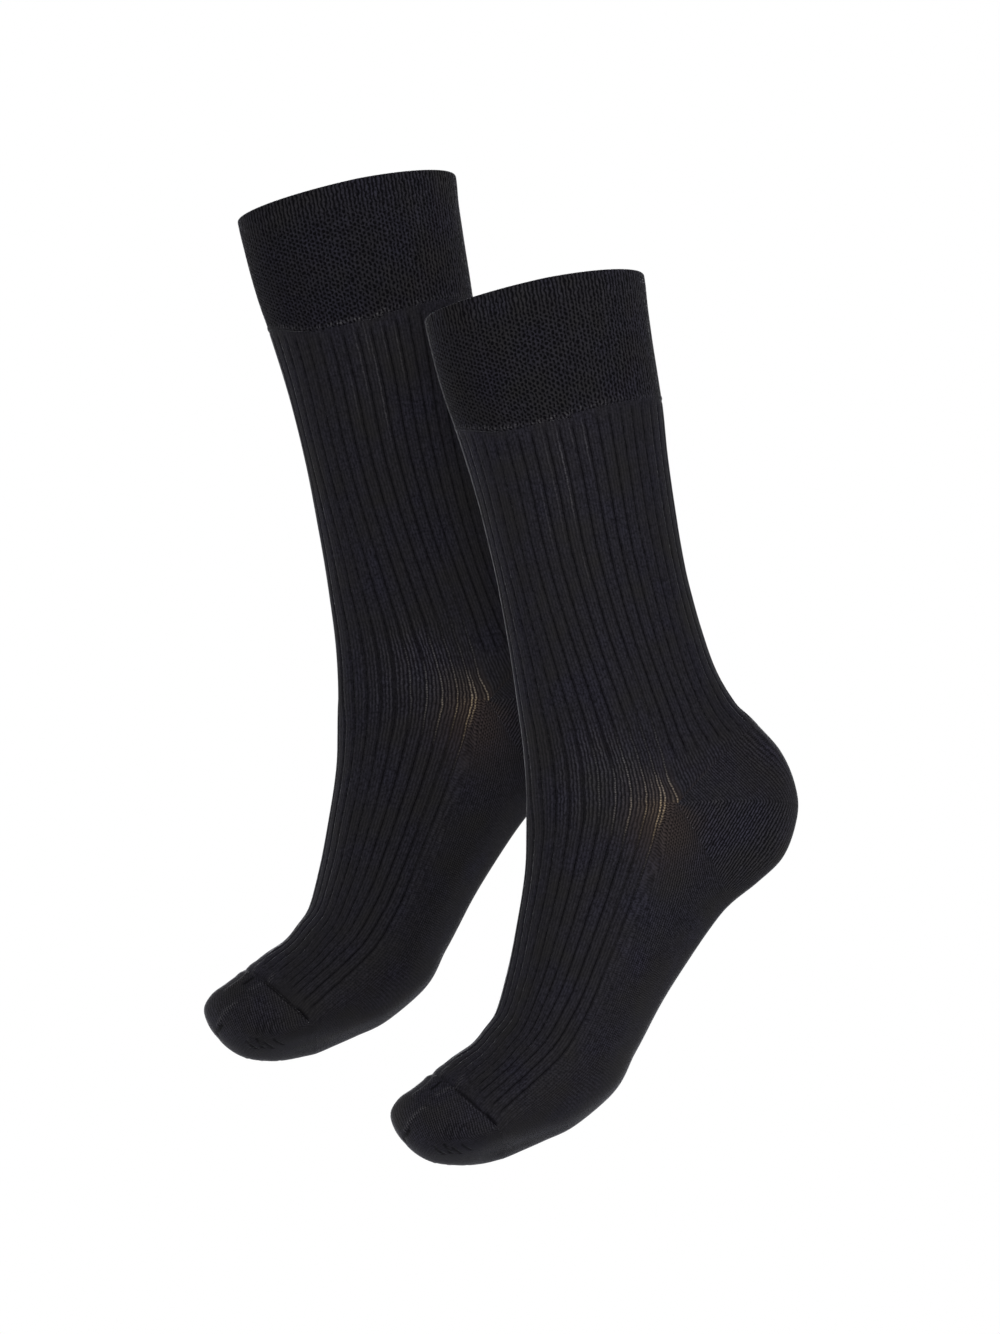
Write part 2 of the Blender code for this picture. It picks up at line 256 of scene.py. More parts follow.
# %% The grooves, level by level
LEG_GROOVES = (-10, -6, -4, -2, 0, 1, 2, 3, 4, 6, 8, 11)
LEG_SWING = np.array([
    (50, -10, -5.75, -3.87, -1.93, -0.03, 0.96, 1.98, 3.13, 4.16, 6.18, 8.19, 11),
    (80, -10, -5.81, -3.91, -1.97, -0.04, 0.96, 2.00, 3.13, 4.17, 6.19, 8.21, 11),
    (110, -10, -5.92, -3.92, -1.99, -0.03, 0.98, 2.01, 3.13, 4.18, 6.20, 8.25, 11),
    (140, -10, -5.88, -3.86, -1.91, 0.03, 1.01, 2.04, 3.12, 4.10, 6.09, 8.03, 11),
    (170, -10, -5.67, -3.70, -1.82, 0.06, 0.99, 1.95, 2.97, 3.91, 5.85, 7.77, 11),
    (200, -10, -5.46, -3.56, -1.84, -0.03, 0.87, 1.77, 2.73, 3.68, 5.60, 7.65, 11),
    (212, -10, -5.47, -3.56, -1.84, -0.04, 0.84, 1.70, 2.66, 3.62, 5.52, 7.59, 11),
    (222, -10, -5.52, -3.55, -1.72, 0.15, 0.98, 1.80, 2.78, 3.64, 5.63, 7.65, 11),
    (230, -10, -5.55, -3.55, -1.55, 0.48, 1.22, 2.02, 2.95, 3.79, 5.83, 7.78, 11),
    (236, -10, -5.65, -3.65, -1.60, 0.56, 1.28, 2.08, 3.01, 3.90, 5.96, 7.86, 11),
    (240.5, -10, -5.85, -3.85, -1.80, 0.27, 1.19, 2.04, 2.98, 3.93, 6.00, 7.86, 11),
    (gore_level, -10, -6.00, -4.00, -2.00, 0.00, 1.04, 1.93, 2.87, 3.84, 5.92, 7.78, 11),
])
FOOT_GROOVES = (1, 2, 3, 4, 5, 6, 8, 10)
FOOT_SWING = np.array([
    (gore_level, 1.04, 1.93, 2.87, 3.84, 4.88, 5.92, 7.78, 9.93),
    (250, 0.75, 1.60, 2.57, 3.60, 4.60, 5.65, 7.64, 9.76),
    (255, 0.45, 1.31, 2.31, 3.29, 4.30, 5.38, 7.46, 9.58),
    (260, 0.20, 1.10, 2.13, 3.06, 4.10, 5.20, 7.30, 9.40),
    (268, 0.03, 0.95, 1.90, 2.91, 3.93, 5.06, 7.10, 9.20),
    (280, -0.14, 0.80, 1.72, 2.73, 3.74, 4.85, 6.93, 9.07),
    (300, -0.26, 0.69, 1.60, 2.58, 3.58, 4.61, 6.68, 8.86),
    (320, -0.29, 0.64, 1.55, 2.50, 3.48, 4.45, 6.44, 8.60),
    (340, -0.17, 0.75, 1.63, 2.52, 3.44, 4.37, 6.22, 8.25),
    (360, -0.06, 0.86, 1.70, 2.54, 3.34, 4.18, 5.95, 7.95),
    (372, 0.00, 0.87, 1.66, 2.42, 3.13, 3.86, 5.72, 7.80),
    (382, 0.03, 0.90, 1.68, 2.36, 3.00, 3.66, 5.60, 7.75),
    (390, 0.12, 1.00, 1.80, 2.48, 3.10, 3.74, 5.62, 7.80),
    (398, 0.33, 1.18, 2.00, 2.66, 3.26, 3.90, 5.75, 7.90),
    (408, 0.50, 1.35, 2.15, 2.80, 3.40, 4.05, 5.85, 8.00),
])
ARRIVAL = 35                # of foot over which the far grooves leave the leg's spacing


def between(numbers, values, ribs):
    """The values (levels, grooves) drawn out straight between the numbered grooves."""
    return values @ np.array([np.interp(ribs, numbers, one) for one in np.eye(len(numbers))])


def leg_places(levels, ribs):
    """Where each rib number lies round the leg at each level, as an array (levels, ribs)."""
    near = np.where(ribs < FRONT_RIBS + BACK_RIBS / 2, ribs, ribs - RIBS)
    far = near > FRONT_RIBS / 2
    swing = smooth(LEG_SWING[:, 0], LEG_SWING[:, 1:], levels)
    place = between(LEG_GROOVES, swing, np.where(far, FRONT_RIBS - near, near))
    return np.where(far, FRONT_RIBS - place, place) % RIBS


def foot_places(levels, ribs):
    """The same on the foot, whose rib numbers run from 1, round the sole, to 43.

    The near half follows the table. The far half is spread evenly, and near the gore it
    starts out from where the leg's grooves arrive.
    """
    swing = smooth(FOOT_SWING[:, 0], FOOT_SWING[:, 1:], levels)
    edge, last, centre = swing[:, :1], swing[:, -1:], FOOT_GROOVES[-1]
    near = between(FOOT_GROOVES, swing, ribs)
    share = (ribs - centre) / (FRONT_RIBS - 1 - centre)
    far = last + (FRONT_RIBS - edge - last) * share
    arriving = leg_places(np.array([gore_level]), np.clip(ribs, 1, FRONT_RIBS - 1))
    even = FOOT_SWING[0, -1] + (FRONT_RIBS - FOOT_SWING[0, 1] - FOOT_SWING[0, -1]) * share
    far = far + (arriving - even) * (1 - ramp(levels[:, None], gore_level, gore_level + ARRIVAL))
    sole = (FRONT_RIBS - edge) + (ribs - FRONT_RIBS + 1) / FRONT_RIBS * (BACK_RIBS + 2 * edge)
    place = np.where(ribs <= centre, near, np.where(ribs <= FRONT_RIBS - 1, far, sole))
    return place % RIBS


def ramp(x, low, high):
    """0 up to low, 1 from high, and 3t^2 - 2t^3 between."""
    t = np.clip((x - low) / (high - low), 0, 1)
    return t * t * (3 - 2 * t)


print("groove 1 at the ankle:", leg_places(np.array([236.0]), np.array([1.0])).round(2))

# %% [markdown]
# ## Ribs, stitches and creases as heights
# Everything that stands up from the smooth surface is a height in millimetres, a function of
# two numbers: the rib number round the sock and the level down it. Displacement by a texture
# would need a finer mesh and can't be measured. Heights add up, so each feature is one short
# function. A rib is three wales wide and flat on top, and the fourth wale sinks between ribs.

# %% Heights of the knitting
GROOVE_DEPTH = 0.80
GROOVE_WIDTH = 0.068        # in ribs, from its middle to where it is a third as deep
EASE_WIDENS, EASE_FLATTENS = 0.3, 0.45     # what a full pull does to a groove
RIB_COLUMNS = np.array([    # the mesh's columns on one rib, closest where the groove is
    0.0, 0.045, 0.09, 0.16, 0.25, 0.375, 0.5, 0.625, 0.75, 0.84, 0.91, 0.955])
PLAIN_COLUMNS = np.arange(8) / 8
WALE_HEIGHT = 0.07


def bell(x):
    """A soft bump, 1 in the middle and near 0 from 2 on: e to the minus x squared."""
    return np.exp(-np.square(x))


def behind_share(ribs):
    """0 at a pocket's two corners and 1 at the middle of the back."""
    return 1 - np.abs(2 * (ribs - FRONT_RIBS) / BACK_RIBS - 1)


def from_corner(ribs):
    """Ribs from the nearer of a pocket's two corners; below 0 on the front."""
    return np.minimum(ribs - FRONT_RIBS, RIBS - ribs)


def round_sock(ribs):
    """A distance in ribs, taken the shorter way round the sock."""
    return (ribs + RIBS / 2) % RIBS - RIBS / 2


def wales(ribs):
    """Low ridges along the columns of stitches: a cosine, four to a rib."""
    return WALE_HEIGHT * np.cos(2 * np.pi * WALES_PER_RIB * ribs)


def rib_height(ribs, grip=1.0, ease=0.0):
    """A groove at each whole rib number, with a rounded rib between; ease pulls it open."""
    off = ribs - np.round(ribs)
    groove = bell(off / (GROOVE_WIDTH * (1 + EASE_WIDENS * ease)))
    crown = 0.05 * (1 + np.cos(2 * np.pi * off))
    sunk = (1 - EASE_FLATTENS * ease) * GROOVE_DEPTH * groove + crown
    return -grip * sunk + wales(ribs) * (1 - groove)


print("groove", rib_height(np.array([0.0])), "rib top", rib_height(np.array([0.5])))

# %% [markdown]
# ## The cuff's knitting
# A cuff is knitted double around elastic, in a mock rib: stitches are held back on every other
# needle, one row on the odd needles and the next on the even ones. So small pits stand in
# staggered rows in the gaps between the wales, like a honeycomb. The product of two cosines
# gives just that lattice. Near the rim the elastic pulls the pits together into upright lines.

# %% Heights of the cuff's lattice
COURSE_HEIGHT = 1.1         # of one stitch
CUFF_COURSE = 1.13          # of one stitch in the cuff
LATTICE_DEPTH = 0.55
LINE_DEPTH = 0.34
CUFF_COLUMNS = np.array([0.18, 0.5, 0.82])     # in wales: a wale's two shoulders and the gap


def honeycomb(ribs, level):
    """1 where the pits are open, 0 near the rim and behind, where the cloth is drawn tighter."""
    return ramp(level, 5.0, 20.0) * (1 - 0.75 * bell((ribs - 33.0) / 7.0))


def lattice_height(ribs, level):
    """Staggered pits in the gaps, and upright lines where the honeycomb is closed.

    Two slanting waves, cos(across + down) and cos(across - down), cross in the lattice. One is
    stronger, as the cloth's twist makes it, so the pits also line up on a slant.
    """
    across = np.pi * (ribs * CUFF_WALES / RIBS - 0.5)      # every other gap is a whole turn
    down = np.pi * level / CUFF_COURSE
    pits = np.square(0.5 + 0.3 * np.cos(across + down) + 0.2 * np.cos(across - down))
    lines = (0.5 + 0.5 * np.cos(2 * across)) * (1 + 0.3 * np.cos(across))
    held = honeycomb(ribs, level)
    return -LATTICE_DEPTH * held * pits - LINE_DEPTH * (1 - 0.35 * held) * lines


# %% [markdown]
# ## Unevenness and creases
# Worn cloth is never as even as a formula. Two things are added: a slow swell of a few waves,
# and a short table of creases placed one by one, each a soft ridge or trough with its own place,
# length, drift, breadth and height. The hidden side gets creases of the same kind.

# %% Swell and creases
# level is measured down from the cuff's lower edge, except on the toe
LEG_CREASES = {             # rib, start, end, drift, breadth, height
    "near": (
        (0.93, 1, 58, -0.02, 0.16, 0.34), (1.90, 8, 40, 0.02, 0.12, 0.20),
        (41.62, 2, 15, 0.05, 0.14, 0.30), (41.12, 1, 34, -0.06, 0.15, 0.26),
        (0.30, 45, 104, -0.12, 0.30, 0.22), (2.4, 60, 120, 0.25, 0.45, -0.25),
        (39.6, 20, 88, 0.30, 0.40, -0.22), (20.8, 1, 52, 0.05, 0.16, 0.30),
        (22.9, 3, 30, -0.05, 0.15, 0.24), (24.6, 34, 96, 0.25, 0.42, -0.24),
        (11.5, 60, 130, 0.6, 0.9, -0.30), (31.0, 60, 96, 0.5, 1.2, -0.35),
    ),
    "far": (
        (1.05, 2, 66, 0.03, 0.16, 0.32), (2.08, 3, 30, -0.03, 0.13, 0.22),
        (0.12, 1, 22, 0.04, 0.14, 0.28), (41.05, 4, 44, 0.05, 0.15, 0.24),
        (0.55, 58, 118, 0.10, 0.28, 0.20), (3.1, 40, 112, -0.20, 0.45, -0.25),
        (38.9, 26, 92, -0.25, 0.42, -0.20), (21.1, 2, 46, -0.05, 0.16, 0.28),
        (23.3, 2, 36, 0.06, 0.14, 0.22), (25.2, 44, 104, -0.25, 0.40, -0.22),
        (10.2, 52, 126, -0.5, 0.9, -0.28), (30.4, 50, 92, 0.4, 1.2, -0.32),
    ),
}


def crease_height(table, ribs, level):
    """The sum of the table's creases: a bell across each one, and a ramp at its two ends."""
    height = np.zeros(np.broadcast(ribs, level).shape)
    for rib, start, end, drift, breadth, rise in table:
        along = (level - start) / (end - start)
        off = round_sock(ribs - (rib + drift * along))
        ends = ramp(along, -0.08, 0.25) * (1 - ramp(along, 0.55, 1.08))
        height += rise * bell(off / breadth) * ends
    return height


def swell(seed, ribs, level, size=0.35):
    """A few long waves round and along the sock, the same at rib 0 and rib 42."""
    draw = np.random.default_rng(seed)
    height = np.zeros(np.broadcast(ribs, level).shape)
    for turns in (1, 2, 3, 4, 6):
        along, start = draw.uniform(0.02, 0.075), draw.uniform(0, 2 * np.pi)
        height += np.cos(2 * np.pi * turns * ribs / RIBS + along * level + start) / (turns + 1)
    return size * height


SETTLED = (          # place, spread in ribs, level, spread along, height
    (11, 8, 8, 34, 1.4), (11, 7, 48, 14, 0.4), (11, 7, 190, 22, 0.7), (11, 7, 338, 28, 0.8),
    (11, 6, 394, 12, 0.8), (32, 6, 2, 9, 0.6), (32, 7, 125, 40, 0.4), (32, 6, 180, 17, 0.8),
    (32, 8, 388, 26, -1.4),
)


def settled(place, level):
    """Where the cloth stands off the smooth form or lies flat to it, as broad soft bumps."""
    height = np.zeros(np.broadcast(place, level).shape)
    for at, spread, middle, along, rise in SETTLED:
        height += rise * bell(round_sock(place - at) / spread) * bell((level - middle) / along)
    return height


SOCK_SEED = {"near": 3, "far": 8}
print("swell round the ankle:", swell(3, np.arange(0, 42, 14), 150.0).round(2), "mm")

# %% [markdown]
# ## A closed wall from rows of points
# Solidify could give the skin its thickness, but ribs belong on the outside only, over a plain
# inside. So a wall is one ring of rows: down the outside, across the edge, up the inside and
# back. Every row has the same number of points, which makes the faces a plain grid that numpy
# can number, and the ring has no open edge. On a pocket the rows' ends meet in two points,
# where doubled points are merged and faces with a repeated corner lose it.


# %% Put a ring of rows into a mesh
def add_floats(mesh, name, values):
    mesh.attributes.new(name, "FLOAT", "POINT").data.foreach_set(
        "value", values.astype(np.float32))


def ring_mesh(name, rows, wale, course, masks, closed, hard_rows):
    """A closed mesh from a ring of rows (rows, columns, xyz) in millimetres.

    wale and course are the UV map, in stitches; masks are named values at the points. closed
    joins each row's end to its start, and then wale and course have one column more. hard_rows
    are rows along which the shading breaks.
    """
    count, width = rows.shape[:2]
    span = width if closed else width - 1
    r, c = np.meshgrid(np.arange(count), np.arange(span), indexing="ij")
    corner_r = np.stack([r, r, r + 1, r + 1], axis=-1).reshape(-1, 4)
    corner_c = np.stack([c, c + 1, c + 1, c], axis=-1).reshape(-1, 4)
    index = (corner_r % count) * width + corner_c % width
    uv = np.stack([wale[corner_r % count, corner_c], course[corner_r % count, corner_c]], axis=-1)

    points = rows.reshape(-1, 3)
    _, first, back = np.unique(np.round(points * 1e4).astype(np.int64), axis=0,
                               return_index=True, return_inverse=True)
    index = back.ravel()[index]
    kept = index != np.roll(index, 1, axis=1)
    whole = kept.sum(axis=1) > 2
    index, kept, uv = index[whole], kept[whole], uv[whole]

    sizes = kept.sum(axis=1)
    mesh = bpy.data.meshes.new(name)
    mesh.vertices.add(len(first))
    mesh.vertices.foreach_set("co", (points[first] * MM).astype(np.float32).ravel())
    mesh.loops.add(int(sizes.sum()))
    mesh.loops.foreach_set("vertex_index", index[kept].astype(np.int32))
    mesh.polygons.add(len(sizes))
    mesh.polygons.foreach_set("loop_start", (np.cumsum(sizes) - sizes).astype(np.int32))
    mesh.update(calc_edges=True)
    mesh.uv_layers.new(name="stitches").data.foreach_set("uv", uv[kept].astype(np.float32).ravel())
    for mask, values in masks.items():
        add_floats(mesh, mask, values.ravel()[first])

    row_of = np.repeat(np.arange(count), width)[first]
    ends = np.zeros(2 * len(mesh.edges), np.int32)
    mesh.edges.foreach_get("vertices", ends)
    ends = row_of[ends.reshape(-1, 2)]
    hard = (ends[:, 0] == ends[:, 1]) & np.isin(ends[:, 0], hard_rows)
    mesh.shade_smooth()
    mesh.attributes.new("sharp_edge", "BOOLEAN", "EDGE").data.foreach_set("value", hard)
    mesh.validate()
    return mesh


def triangles(mesh):
    return sum(len(polygon.vertices) - 2 for polygon in mesh.polygons)


# %% [markdown]
# ## Where the cloth is pulled open
# Six masks go with the stitches. `ribbed` is 1 where there are grooves at all, and the grooves
# there get painted shade. `marked` says how clearly the wales stand out, and `laddered` the same
# for the courses. The fourth mask is 1 where the cloth is pulled so far open that light comes
# through: round the gore, and in short streaks under the cuff; on the toe and the foot it also
# carries painted highlights along the folds' ridges. `thin` is 1 where it is stretched so thin
# that it looks brown. The sixth mask is painted shade: in the depths of sharp folds, and over the
# cuff, darkest at the shin. Open lines are listed, as the creases are, so each has its own length
# and brightness. The shader draws the fine stitches inside them, which are too small for the mesh.

# %% Masks of the gore and the streaks
GORE_LINES = (              # rib, start, end, breadth, strength
    (0.00, 200, 246, 0.085, 0.45), (0.00, 222, 266, 0.085, 1.00), (0.25, 234, 262, 0.10, 0.26),
    (0.75, 229, 258, 0.10, 0.95), (1.00, 192, 292, 0.090, 0.48), (1.00, 225, 264, 0.100, 1.20),
    (2.00, 198, 274, 0.085, 0.48), (2.00, 222, 262, 0.090, 0.80), (3.00, 208, 272, 0.085, 0.84),
    (4.00, 222, 268, 0.085, 0.64), (5.00, 212, 266, 0.080, 0.50), (1.50, 226, 258, 0.30, 0.26),
    (2.50, 218, 256, 0.30, 0.24), (3.50, 206, 256, 0.32, 0.17), (4.55, 202, 252, 0.30, 0.15),
    (5.50, 208, 250, 0.30, 0.12), (6.30, 214, 262, 0.30, 0.11), (7.25, 220, 266, 0.25, 0.08),
    (2.05, 262, 314, 0.08, 0.14), (0.05, 176, 214, 0.08, 0.26), (1.05, 286, 330, 0.08, 0.15),
)
BRIGHTEST = 1.2
CUFF_STREAKS = {
    "near": ((1.22, 60, 122, 0.10, 0.44), (1.45, 60, 96, 0.06, 0.22), (2.28, 60, 128, 0.07, 0.20),
             (41.28, 60, 90, 0.09, 0.34), (3.25, 88, 128, 0.05, 0.16), (0.22, 60, 80, 0.08, 0.18),
             (1.24, 124, 146, 0.07, 0.18), (20.76, 60, 116, 0.09, 0.38), (22.7, 60, 92, 0.09, 0.3)),
    "far": ((1.20, 60, 132, 0.10, 0.38), (1.50, 60, 84, 0.06, 0.24), (2.25, 60, 110, 0.07, 0.24),
            (41.30, 60, 100, 0.09, 0.30), (3.27, 80, 118, 0.05, 0.16), (0.24, 60, 88, 0.08, 0.20),
            (20.78, 60, 108, 0.09, 0.36), (22.72, 60, 98, 0.09, 0.28)),
}


def opened_mask(sock, ribs, level):
    """The strongest of the listed lines at each point, on the near half and its mirror image."""
    from_side = np.where(ribs < FRONT_RIBS / 2, ribs,
                         np.where(ribs < RIBS - BACK_RIBS / 2, FRONT_RIBS - ribs, ribs - RIBS))
    made = np.zeros(np.broadcast(ribs, level).shape)
    for table, number in ((GORE_LINES, from_side), (CUFF_STREAKS[sock], ribs)):
        for rib, start, end, breadth, strength in table:
            along = (level - start) / (end - start)
            ends = ramp(along, 0.0, 0.35) * (1 - ramp(along, 0.6, 1.0))
            made = np.maximum(made, strength * ends * bell((number - rib) / breadth))
    made = made * np.where((from_side < 0.6) & (level > gore_level), 0, 1)
    return np.minimum(made, BRIGHTEST)


def thin_mask(place, level):
    """Brown round the gore, on the front's last ribs and on the sole's first, by place."""
    side = np.where(place > FRONT_RIBS, -from_corner(place), np.minimum(place, FRONT_RIBS - place))
    drop = level - gore_level
    front = 0.62 * bell((side - 0.8) / 2.3) * bell((drop - 1) / 13.0) * ramp(side, 0.0, 0.3)
    under = 0.9 * bell((side + 0.6) / 2.3) * bell((drop - 8) / 14.0) * ramp(drop, -2.0, 1.0)
    return np.clip(front + under, 0, 1)


# %% [markdown]
# ## Sharp folds
# A fold is a bent line with a height across it, and it may be lighter or darker than the cloth:
# its ridge gets a painted highlight, and its depth painted shade. The lists give each one's
# breadth, height, shade (above 0 a painted highlight, below 0 painted shade) and corners, all in
# millimetres.

# %% Folds over the toes
TOE_FOLDS = (           # corners: from the pocket's corner towards the middle, and down the fan
    (0.9, 0.38, 0.50, ((30, 68), (31, 66.5), (35.5, 61), (41.5, 56), (46, 54))),
    (1.3, -0.42, -1.10, ((42.5, 53.0), (47, 51.5), (56, 50.5))),
    (0.9, -0.38, -1.20, ((36, 37.5), (41, 33), (46, 30))),
    (0.9, -0.38, -1.30, ((29.5, 35.5), (34.5, 30.0), (42.5, 27.0))),
    (0.8, -0.32, -1.20, ((31.0, 29.0), (38, 23.5), (43, 22))),
    (0.8, -0.32, -1.10, ((24.0, 26), (30, 20.0), (34.5, 17.5))),
    (0.9, 0.30, 0.22, ((33, 39), (38.5, 35), (44.5, 32))),
    (0.8, 0.30, 0.22, ((32, 31.5), (38, 28))),
    (0.7, -0.12, -0.45, ((18.5, 57), (25.5, 40))), (0.7, -0.12, -0.55, ((14.9, 58), (23.4, 37))),
    (0.7, -0.12, -0.50, ((12.0, 58), (20.4, 32))), (0.7, -0.12, -0.35, ((9.0, 57), (17.0, 29))),
    (1.1, 0.42, 0.55, ((40, 75), (38.7, 84), (39.5, 91.6))),
    (0.9, 0.36, 0.45, ((29, 80), (27, 88), (25.4, 91.6))), (0.9, -0.3, -1.0, ((34, 83), (33, 89))),
    (1.7, -0.5, -1.20, ((0.5, 91.5), (5.5, 91.2))), (0.7, -0.2, -0.9, ((5.5, 91.5), (26, 91.5))),
    (0.8, 0.2, 0.30, ((2, 87.0), (9, 88.0), (16, 88.4))),
)
TOE_FOLDS_ABOVE = (     # corners: round the foot from the near side, and up from the toe seam
    (1.1, 0.42, 0.50, ((40.5, 0), (42, 6), (46, 14))), (0.9, 0.36, 0.45, ((26, 0), (28, 6))),
    (1.6, -0.4, -1.10, ((1.0, 0.6), (6.0, 0.8))), (0.6, -0.1, -0.7, ((6, 0), (26, 0))),
    (0.9, 0.2, 0.18, ((78, 0), (80, 9))),
)
TOE_REACH = 60              # from a corner of the pocket to the middle of the back
INSTEP_RIB = 5.6            # one rib's width beside the toe seam


def folds(table, x, y):
    """The folds' summed height, their strongest painted highlight and their strongest painted
    shade, at points x, y.
    """
    height, lit, dark = np.zeros((3, *np.broadcast(x, y).shape))
    for breadth, rise, shade, corners in table:
        away = np.full(height.shape, 1e3)
        for (x0, y0), (x1, y1) in zip(corners[:-1], corners[1:]):
            length = (x1 - x0) ** 2 + (y1 - y0) ** 2
            along = np.clip(((x - x0) * (x1 - x0) + (y - y0) * (y1 - y0)) / length, 0, 1)
            off = np.hypot(x - x0 - along * (x1 - x0), y - y0 - along * (y1 - y0))
            away = np.minimum(away, off)
        height += rise * bell(away / breadth)
        lit = np.maximum(lit, shade * bell(away / breadth))
        dark = np.maximum(dark, -shade * bell(away / breadth))
    return height, lit, np.minimum(dark, 1.0)


def toe_place(ribs, down):
    """Millimetres from the toe pocket's nearest corner; the hidden side's folds lie elsewhere."""
    share = behind_share(ribs)
    hidden = ribs < FRONT_RIBS + BACK_RIBS / 2
    drift = np.where(hidden, 3.0, 0) * np.sin(share * 7)
    return TOE_REACH * share + np.where(hidden, 2.5, 0), down + drift


# %% [markdown]
# ## The five stretches
# Now the heights are laid on the smooth surface. A stretch reads its surface at a grid of
# levels and ribs, moves each point out along its own outward direction by the height there,
# and does the same, without ribs, for the inside. Neighbouring stretches keep a hair of air
# between their edges. Their heights differ there, so the walls can still cross, by about 0.2 mm.

# %% Values that all the stretches share
BODY_WALL = 1.8
CUFF_WALL = 2.2
INNER_STEP = 8              # the inside has one row for this many outside
ROWS = {"cuff": 154, "leg": 97, "foot": 112, "heel": 84, "toe": 130}
CUFF_INNER_ROWS = 12
SEAM_AIR = 0.01             # left at each seam by each of the two stretches
RIM_LIFT = 0.5              # how far the rolled rim stands above the solid's
BOUNDARY_DIP = (5.2, 4.0, 6.5)       # rib, spread and drop of the cuff's wavy lower edge


def tube_ribs(first, ribbed):
    """Rib numbers all round: fine columns on `ribbed` ribs from the first, then coarser ones."""
    fine = (np.arange(ribbed)[:, None] + RIB_COLUMNS).ravel()
    plain = (np.arange(ribbed, RIBS)[:, None] + PLAIN_COLUMNS).ravel()
    return first + np.concatenate([fine, plain])


def levels_between(start, end, count):
    """A grid of levels (count, columns) between two edges, which may differ along the ribs."""
    share = np.linspace(0.0, 1.0, count)[:, None]
    return start * (1 - share) + end * share


def cuff_edge(ribs):
    """The cuff's lower edge: it dips on both sides of the shin and rides up over it."""
    rib, spread, drop = BOUNDARY_DIP
    off = np.abs(np.abs(ribs - FRONT_RIBS / 2) - (FRONT_RIBS / 2 - rib))
    return cuff_end + drop * bell(off / spread) * (1 - ramp(ribs, FRONT_RIBS - 1, FRONT_RIBS + 2))


MASKS = ("ribbed", "marked", "laddered", "opened", "thin", "creased")


def all_masks(shape, **given):
    """The given masks, and 0 for the rest of the six."""
    return {mask: np.broadcast_to(given.get(mask, 0.0), shape) for mask in MASKS}


def stretch_mesh(name, outer, inner, level, inner_level, wale, masks, cap=None,
                 course_height=COURSE_HEIGHT):
    """Close a tube from its outside, its inside and, on the cuff, its rounded rim.

    wale has one column more than the rest, a whole turn on from its first.
    """
    rows = [outer, inner] if cap is None else [outer, inner, cap]
    extra = 0 if cap is None else len(cap)
    course = np.concatenate([level, inner_level, np.zeros((extra, level.shape[1]))]) / course_height
    course = np.hstack([course, course[:, :1]])
    wale = np.broadcast_to(wale, (len(level), course.shape[1]))
    wale = np.concatenate([wale, np.broadcast_to(wale[-1], (len(inner) + extra, wale.shape[1]))])
    still = np.zeros((len(inner) + extra, level.shape[1]))
    masks = {mask: np.concatenate([values, still]) for mask, values in masks.items()}
    hard = [len(outer) - 1, len(outer)] + ([0, len(outer) + len(inner) - 1] if cap is None else [])
    return ring_mesh(name, np.concatenate(rows), wale, course, masks, True, hard)


def make_cuff(sock):
    """The double cuff: honeycomb outside, a rounded rim, and a plain inside."""
    wale = (np.arange(CUFF_WALES)[:, None] + CUFF_COLUMNS).ravel()
    ribs = wale * RIBS / CUFF_WALES
    surface = Surface(tube_knots, tube_rows, lambda levels: ribs[None], 0.0, cuff_end + 10, True)
    bend = CUFF_WALL / 2
    end = cuff_edge(ribs) - SEAM_AIR
    level = levels_between(np.full(len(ribs), bend - RIM_LIFT), end, ROWS["cuff"])
    base, out, down = surface.read(level)
    left = end - level                                     # what is left down to the edge
    height = (lattice_height(ribs, level) * ramp(left, 1.0, 3.0)
              + 0.22 * bell((left - 1.3) / 0.7) - 0.30 * bell(left / 0.6)
              + settled(ribs, level) + swell(SOCK_SEED[sock], ribs, level) * ramp(level, 0, 15))
    outer = base + out * height[..., None]
    inner_level = levels_between(end, np.full(len(ribs), bend - RIM_LIFT),
                                 CUFF_INNER_ROWS)
    inner, inner_out, _ = surface.read(inner_level)
    inner = inner + inner_out * (settled(ribs, inner_level) - CUFF_WALL)[..., None]
    turn = np.linspace(np.pi, 0, 7)[1:-1, None, None]      # from the inside over to the outside
    rim = outer[0] + bend * (out[0] * (np.cos(turn) - 1) - down[0] * np.sin(turn))
    draw = np.random.default_rng(SOCK_SEED[sock] + 20)
    wale_number = np.round(wale).astype(int) % CUFF_WALES
    bright, wander = (draw.random(CUFF_WALES)[wale_number] for _ in range(2))
    from_shin = np.abs(np.where(ribs > 32, ribs - RIBS, ribs) - FRONT_RIBS / 2)
    beads = (0.1 + bright ** 1.5) * (0.2 + 0.8 * bell((from_shin - 8.0) / 5.0))
    # painted shade over the cuff, darkest at the shin and fading towards the back; it goes into the
    # sixth mask
    shade = 0.36 * bell(from_shin / 6.5) + 0.17 * bell((from_shin - 11.0) / 4.5)
    masks = all_masks(level.shape, marked=honeycomb(ribs, level), creased=shade,
                      opened=beads * bell((left - 1.0 - wander) / 0.75) * 0.88)
    wale = np.append(wale, wale[0] + CUFF_WALES)
    return stretch_mesh(f"{sock}_cuff", outer, inner, level, inner_level, wale, masks, rim,
                        CUFF_COURSE)


def make_tube(name, sock, surface, place, level, height, wale, masks):
    """A stretch of leg or foot: ribs outside, plain inside, flat edges."""
    base, out, _ = surface.read(level)
    outer = base + out * (height + settled(place, level))[..., None]
    inner_level = level[::-INNER_STEP]
    inner, inner_out, _ = surface.read(inner_level)
    inner = inner + inner_out * (settled(place, level)[::-INNER_STEP] - BODY_WALL)[..., None]
    return stretch_mesh(f"{sock}_{name}", outer, inner, level, inner_level, wale, masks)


def pulled_wales(place):
    """1 on the ribs beside the instep, whose wales are pulled apart, and 0 over the shin."""
    return bell((np.minimum(place, np.abs(FRONT_RIBS - place)) - 4.0) / 4.5)


